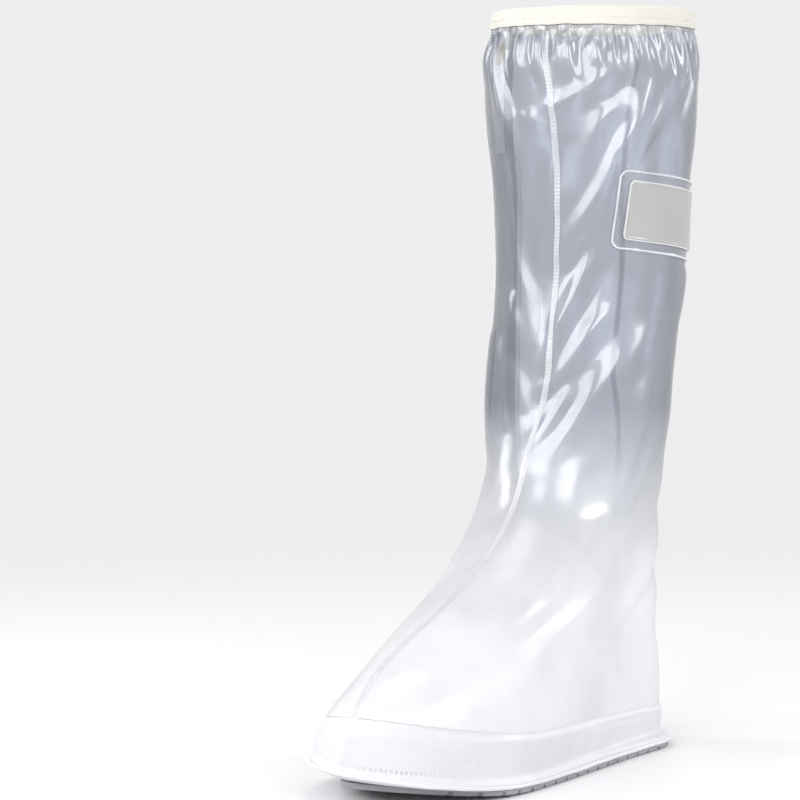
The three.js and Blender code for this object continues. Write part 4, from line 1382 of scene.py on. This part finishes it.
def make_bead(name, size, inset, width, level, height):
    """A raised weld along a plate's border, in white vinyl that paints a highlight line along it."""
    path = border_path(size, inset)
    along = unit(np.roll(path, -1, axis=0) - np.roll(path, 1, axis=0))
    side = np.column_stack([-along[:, 1], along[:, 0]])
    turn = turns(BEAD_SIDES)
    wobble = 1 + BEAD_WOBBLE * value_noise(np.arange(BEAD_POINTS) / 9, 0.5, 74)[:, None]
    sideways = path[:, None] + side[:, None] * (width / 2 * np.cos(turn))[None, :, None]
    lift = level + height * np.maximum(np.sin(turn), BEAD_UNDER)[None, :] * wobble
    mesh = rings(patch_point(sideways[..., 0], sideways[..., 1], lift), closed=True)
    # White vinyl on the bead: a real weld bead, painted white to stand for the highlight line along the
    # border.
    return add_piece(name, *mesh, "vinyl", "weld")


def make_patch():
    """The clear pad on the leg, its raised white borders that paint highlight lines along its edges, and the
    plain plate on it.
    """
    across, up, inside = patch_grid(PAD_SIZE, PATCH_COLUMNS, PAD_ROWS)
    rim = PAD_RIM * bell((inside - PAD_RIM_INSET) / PAD_RIM_HALF) * smooth(inside / 0.25)
    level = PAD_LEVEL + rim + PAD_RIPPLE * value_noise(across / 14, up / 14, 71)
    pad = shell(patch_point(across, up, level), patch_point(across, up, PAD_UNDER + 0 * up))
    add_piece("patch_pad", *pad, "pad", "weld", ["patch_pad"])
    for row in BEAD_ROWS:
        make_bead(*row)
    across, up, inside = patch_grid(PLATE_SIZE, PATCH_COLUMNS, PLATE_ROWS)
    rim = PLATE_RIM * bell((inside - PLATE_RIM_INSET) / PLATE_RIM_HALF)
    ripple = PLATE_RIPPLE * value_noise(across / 6 + 3, up / 22, 72)
    ripple = ripple + PLATE_FINE_RIPPLE * value_noise(across / 3, up / 9, 73)
    level = PLATE_LEVEL + PLATE_THICKNESS * smooth(inside / PLATE_EDGE) + rim + ripple * smooth(inside / 3)
    plate = shell(patch_point(across, up, level), patch_point(across, up, PLATE_UNDER + 0 * up))
    add_piece("patch_plate", *plate, "plate", "plate", ["patch_plate"])


# Materials

class Nodes:
    """A material's nodes, added one by one with their sockets' values or links."""

    def __init__(self, name):
        self.material = bpy.data.materials.new(name)
        self.material.use_nodes = True
        self.tree = self.material.node_tree
        self.tree.nodes.clear()
        self.place = self.add("ShaderNodeTexCoord").outputs["Object"]
        MATERIALS[name] = self.material

    def add(self, kind, sockets=None, **settings):
        node = self.tree.nodes.new(kind)
        for key, value in settings.items():
            setattr(node, key, value)
        for key, value in (sockets or {}).items():
            if isinstance(value, bpy.types.NodeSocket):
                self.tree.links.new(value, node.inputs[key])
            else:
                node.inputs[key].default_value = value
        return node

    def noise(self, scale, detail=3.0, rough=0.5):
        sockets = {"Vector": self.place, "Scale": scale, "Detail": detail, "Roughness": rough}
        return self.add("ShaderNodeTexNoise", sockets).outputs["Fac"]

    def ramp(self, value, low, high, start=0.35, stop=0.65):
        sockets = {"Value": value, "From Min": start, "From Max": stop, "To Min": low, "To Max": high}
        return self.add("ShaderNodeMapRange", sockets).outputs["Result"]

    def math(self, operation, a, b):
        node = self.add("ShaderNodeMath", {0: a, 1: b}, operation=operation)
        return node.outputs[0]

    def tint(self, value, low, high):
        node = self.add("ShaderNodeMix", {0: value, 6: (*low, 1), 7: (*high, 1)}, data_type="RGBA")
        return node.outputs[2]

    def bump(self, height, strength, distance):
        sockets = {"Height": height, "Strength": strength, "Distance": distance}
        return self.add("ShaderNodeBump", sockets).outputs["Normal"]

    def speckle(self, low, high):
        """White noise from low to high, which keeps soft fades free of bands."""
        noise = self.add("ShaderNodeTexWhiteNoise", {"Vector": self.place}, noise_dimensions="3D")
        return self.ramp(noise.outputs["Value"], low, high, 0, 1)

    def shader(self, kind, sockets=None):
        return self.add("ShaderNodeBsdf" + kind, sockets).outputs[0]

    def mix(self, amount, a, b):
        return self.add("ShaderNodeMixShader", {0: amount, 1: a, 2: b}).outputs[0]

    def finish(self, shader):
        self.add("ShaderNodeOutputMaterial", {"Surface": shader})
        return self.material


# Film: the heights in metres between which its milk fades, how its edges grey, and its two glosses
MILK_LOW = 0.08
MILK_HIGH = 0.185
EDGE_POWER = 2.5
TRANSLUCENT_SHARE = 0.15
SHINE_POWER = 5.0
SHINE_FACING = 0.09
SHINE_EDGE = 0.9
BROAD_SHARE = 0.38
BROAD_ROUGHNESS = 0.34


def film_material(name, haze, foot_haze, edge_haze, tint, edge_tint, milk_colour, gloss_roughness):
    """Clear vinyl film: see-through and glossy, milkier at the foot, and greyer where it is seen edge on."""
    n = Nodes(name)
    orange_peel = n.bump(n.noise(420, 2), 0.06, 0.0004)
    facing = n.add("ShaderNodeLayerWeight", {"Blend": 0.5}).outputs["Facing"]
    edge = n.math("POWER", facing, EDGE_POWER)
    height = n.add("ShaderNodeSeparateXYZ", {0: n.place}).outputs["Z"]
    milk = n.ramp(height, foot_haze, haze, MILK_LOW, MILK_HIGH)
    cloud = n.math("MULTIPLY", milk, n.ramp(n.noise(16, 3), 0.85, 1.15))
    even = n.math("ADD", cloud, n.math("MULTIPLY", edge, edge_haze))
    amount = n.math("MULTIPLY", even, n.speckle(0.5, 1.5))
    clear = n.shader("Transparent", {"Color": n.tint(edge, tint, edge_tint)})
    diffuse, through = (n.shader(kind, {"Color": (*milk_colour, 1)}) for kind in ("Diffuse", "Translucent"))
    body = n.mix(amount, clear, n.mix(TRANSLUCENT_SHARE, diffuse, through))
    sharp_rough = n.ramp(n.noise(60, 2), gloss_roughness * 0.7, gloss_roughness * 1.3)
    sharp = n.shader("Anisotropic", {"Roughness": sharp_rough, "Normal": orange_peel})
    broad = n.shader("Anisotropic", {"Roughness": BROAD_ROUGHNESS, "Normal": orange_peel})
    shine_facing = n.add("ShaderNodeLayerWeight", {"Blend": 0.5, "Normal": orange_peel}).outputs["Facing"]
    shine = n.ramp(n.math("POWER", shine_facing, SHINE_POWER), SHINE_FACING, SHINE_EDGE, 0, 1)
    return n.finish(n.mix(shine, body, n.mix(BROAD_SHARE, sharp, broad)))


def vinyl_material(name, pale, dark, roughness, bump_scale, bump_strength):
    n = Nodes(name)
    colour = n.tint(n.ramp(n.noise(22, 4), 0, 1), pale, dark)
    surface = n.bump(n.noise(bump_scale, 3), bump_strength, 0.0003)
    rough = n.ramp(n.noise(90, 3), roughness - 0.08, roughness + 0.08)
    return n.finish(n.shader("Principled", {
        "Base Color": colour, "Roughness": rough, "Normal": surface, "Subsurface Weight": 0.15,
        "Subsurface Radius": (0.004, 0.004, 0.004), "Subsurface Scale": 0.5,
    }))


def woven_material(name, pale, dark, rib_scale, roughness):
    """Woven tape: fine ribs across a fine warp, with a soft sheen."""
    n = Nodes(name)
    ribs = {"Vector": n.place, "Scale": rib_scale, "Distortion": 1.5}
    wave = n.add("ShaderNodeTexWave", ribs, bands_direction="Z").outputs["Fac"]
    height = n.math("ADD", wave, n.noise(1400, 2))
    # The colour follows the ribs' height: darker in their furrows, paler on their crests.
    colour = n.tint(n.math("MULTIPLY", height, 0.5), dark, pale)
    return n.finish(n.shader("Principled", {
        "Base Color": colour, "Roughness": roughness, "Normal": n.bump(height, 0.35, 0.0003),
        "Sheen Weight": 0.3, "Sheen Roughness": 0.5,
    }))


def metal_material(name, colour, worn, roughness):
    n = Nodes(name)
    tone = n.tint(n.ramp(n.noise(300, 4), 0, 1), colour, worn)
    return n.finish(n.shader("Principled", {
        "Base Color": tone, "Metallic": 0.9, "Roughness": n.ramp(n.noise(500, 3), roughness, roughness + 0.2),
        "Normal": n.bump(n.noise(900, 2), 0.1, 0.0002),
    }))


film_material("film", 0.03, 0.77, 0.1, (0.8, 0.815, 0.85), (0.38, 0.4, 0.45), (0.89, 0.89, 0.905), 0.18)
film_material("flap", 0.02, 0.2, 0.1, (0.94, 0.945, 0.955), (0.6, 0.61, 0.65), (0.84, 0.84, 0.855), 0.18)
film_material("weld", 0.45, 0.6, 0.3, (0.9, 0.9, 0.91), (0.6, 0.61, 0.65), (0.84, 0.84, 0.86), 0.16)
film_material("pad", 0.04, 0.04, 0.2, (0.93, 0.93, 0.94), (0.6, 0.61, 0.65), (0.7, 0.7, 0.72), 0.09)
film_material("plate", 0.85, 0.85, 0.1, (0.8, 0.8, 0.79), (0.7, 0.7, 0.69), (0.5, 0.495, 0.485), 0.2)
vinyl_material("vinyl", (0.68, 0.68, 0.705), (0.63, 0.63, 0.66), 0.4, 300, 0.1)
vinyl_material("rand", (0.65, 0.65, 0.68), (0.6, 0.6, 0.635), 0.45, 900, 0.2)
vinyl_material("tread", (0.36, 0.345, 0.375), (0.29, 0.275, 0.3), 0.6, 400, 0.3)
woven_material("elastic", (0.72, 0.69, 0.63), (0.58, 0.555, 0.5), 900, 0.85)
woven_material("tape", (0.7, 0.7, 0.73), (0.58, 0.58, 0.61), 700, 0.75)
vinyl_material("coil", (0.72, 0.72, 0.74), (0.64, 0.64, 0.67), 0.35, 500, 0.1)
vinyl_material("thread", (0.76, 0.75, 0.72), (0.66, 0.65, 0.62), 0.7, 2000, 0.4)
metal_material("metal", (0.62, 0.52, 0.32), (0.45, 0.37, 0.24), 0.3)


# Pieces

film_outer, film_inner = make_film()
make_seam("seam_front", 0)
make_seam("seam_back", BACK_COLUMN)
make_lip()
make_tread()
make_rand()
make_toe_strip()
band = make_band()
band_stitches = make_band_stitches()
tape_front = make_tape("zip_tape_front", 1)
tape_back = make_tape("zip_tape_back", -1)
make_coil()
make_tape_stitches()
make_slider()
make_pull()
flap = make_flap()
make_patch()


# Stage, in metres

FLOOR_SIDES = 96
FLOOR_RADIUS = 4.0
FLOOR_FADE_START = 0.3
FLOOR_FADE_END = 1.2
FLOOR_SPECKLE = 0.3
FLOOR_COLOUR = (0.8, 0.8, 0.81, 1)

# The sky's tones by the height of the direction, and its tint
SKY_ROWS = [(0.2, 0.86), (0.8, 0.32)]
SKY_TINT = (0.985, 0.99, 1)


def place(x, y, z):
    return Vector((x * MM + ORIGIN[0], y * MM + ORIGIN[1], z * MM))


def make_floor():
    """A round floor that fades out towards its rim."""
    mesh = bpy.data.meshes.new("floor")
    turn = turns(FLOOR_SIDES)
    ring = FLOOR_RADIUS * np.column_stack([np.cos(turn), np.sin(turn), 0 * turn])
    fan = [[FLOOR_SIDES, k, (k + 1) % FLOOR_SIDES] for k in range(FLOOR_SIDES)]
    mesh.from_pydata([*ring.tolist(), [0, 0, 0]], [], fan)
    floor = bpy.data.objects.new("floor", mesh)
    bpy.context.scene.collection.objects.link(floor)
    n = Nodes("floor")
    distance = n.add("ShaderNodeVectorMath", {0: n.place}, operation="LENGTH").outputs["Value"]
    spread = n.math("ADD", distance, n.speckle(-FLOOR_SPECKLE, FLOOR_SPECKLE))
    reach = {"Value": spread, "From Min": FLOOR_FADE_START, "From Max": FLOOR_FADE_END}
    fade = n.add("ShaderNodeMapRange", reach, interpolation_type="SMOOTHSTEP").outputs["Result"]
    ground = n.shader("Diffuse", {"Color": FLOOR_COLOUR})
    mesh.materials.append(n.finish(n.mix(fade, ground, n.shader("Transparent"))))


def add_light(name, azimuth, height, distance, size, radiance):
    """A flat lamp that looks at the boot, placed round it by azimuth, height and distance in metres."""
    lamp = bpy.data.lights.new(name, "AREA")
    lamp.shape = "RECTANGLE"
    lamp.size, lamp.size_y = size
    lamp.energy = radiance * math.pi * size[0] * size[1]
    light = bpy.data.objects.new(name, lamp)
    turn = math.radians(azimuth)
    light.location = place(*LOOK_AT) + Vector((math.sin(turn) * distance, -math.cos(turn) * distance, height))
    light.rotation_mode = "QUATERNION"
    light.rotation_quaternion = (place(*LOOK_AT) - light.location).to_track_quat("-Z", "Y")
    light.visible_camera = False
    bpy.context.scene.collection.objects.link(light)


def make_world():
    world = bpy.data.worlds.new("studio")
    bpy.context.scene.world = world
    world.use_nodes = True
    nodes, links = world.node_tree.nodes, world.node_tree.links
    split = nodes.new("ShaderNodeSeparateXYZ")
    links.new(nodes.new("ShaderNodeTexCoord").outputs["Generated"], split.inputs[0])
    ramp = nodes.new("ShaderNodeValToRGB")
    ramp.color_ramp.interpolation = "EASE"
    for element, (height, tone) in zip(ramp.color_ramp.elements, SKY_ROWS):
        element.position = height
        element.color = (*(tone * share for share in SKY_TINT), 1)
    links.new(split.outputs["Z"], ramp.inputs["Fac"])
    links.new(ramp.outputs["Color"], nodes["Background"].inputs["Color"])


def make_camera():
    azimuth = math.radians(CAMERA_AZIMUTH)
    back = Vector((math.sin(azimuth), -math.cos(azimuth), 0))
    right = Vector((math.cos(azimuth), math.sin(azimuth), 0))
    yaw = math.atan2(AXIS_COLUMN - IMAGE_PIXELS / 2, FOCAL_PIXELS)
    pitch = math.atan2(IMAGE_PIXELS / 2 - HORIZON_ROW, FOCAL_PIXELS)
    level = -back * math.cos(yaw) - right * math.sin(yaw)
    forward = level * math.cos(pitch) - Vector((0, 0, math.sin(pitch)))
    data = bpy.data.cameras.new("camera")
    data.sensor_width = SENSOR_WIDTH
    data.lens = FOCAL_PIXELS / IMAGE_PIXELS * SENSOR_WIDTH
    camera = bpy.data.objects.new("camera", data)
    camera.location = place(0, 0, 0) + back * CAMERA_DISTANCE * MM + Vector((0, 0, CAMERA_HEIGHT * MM))
    camera.rotation_mode = "QUATERNION"
    camera.rotation_quaternion = forward.to_track_quat("-Z", "Y")
    bpy.context.scene.collection.objects.link(camera)
    bpy.context.scene.camera = camera


make_floor()
make_world()
make_camera()
for lamp_row in LIGHT_ROWS:
    add_light(*lamp_row)
bpy.context.scene.view_settings.view_transform = "Standard"
bpy.context.scene.cycles.transparent_max_bounces = 40
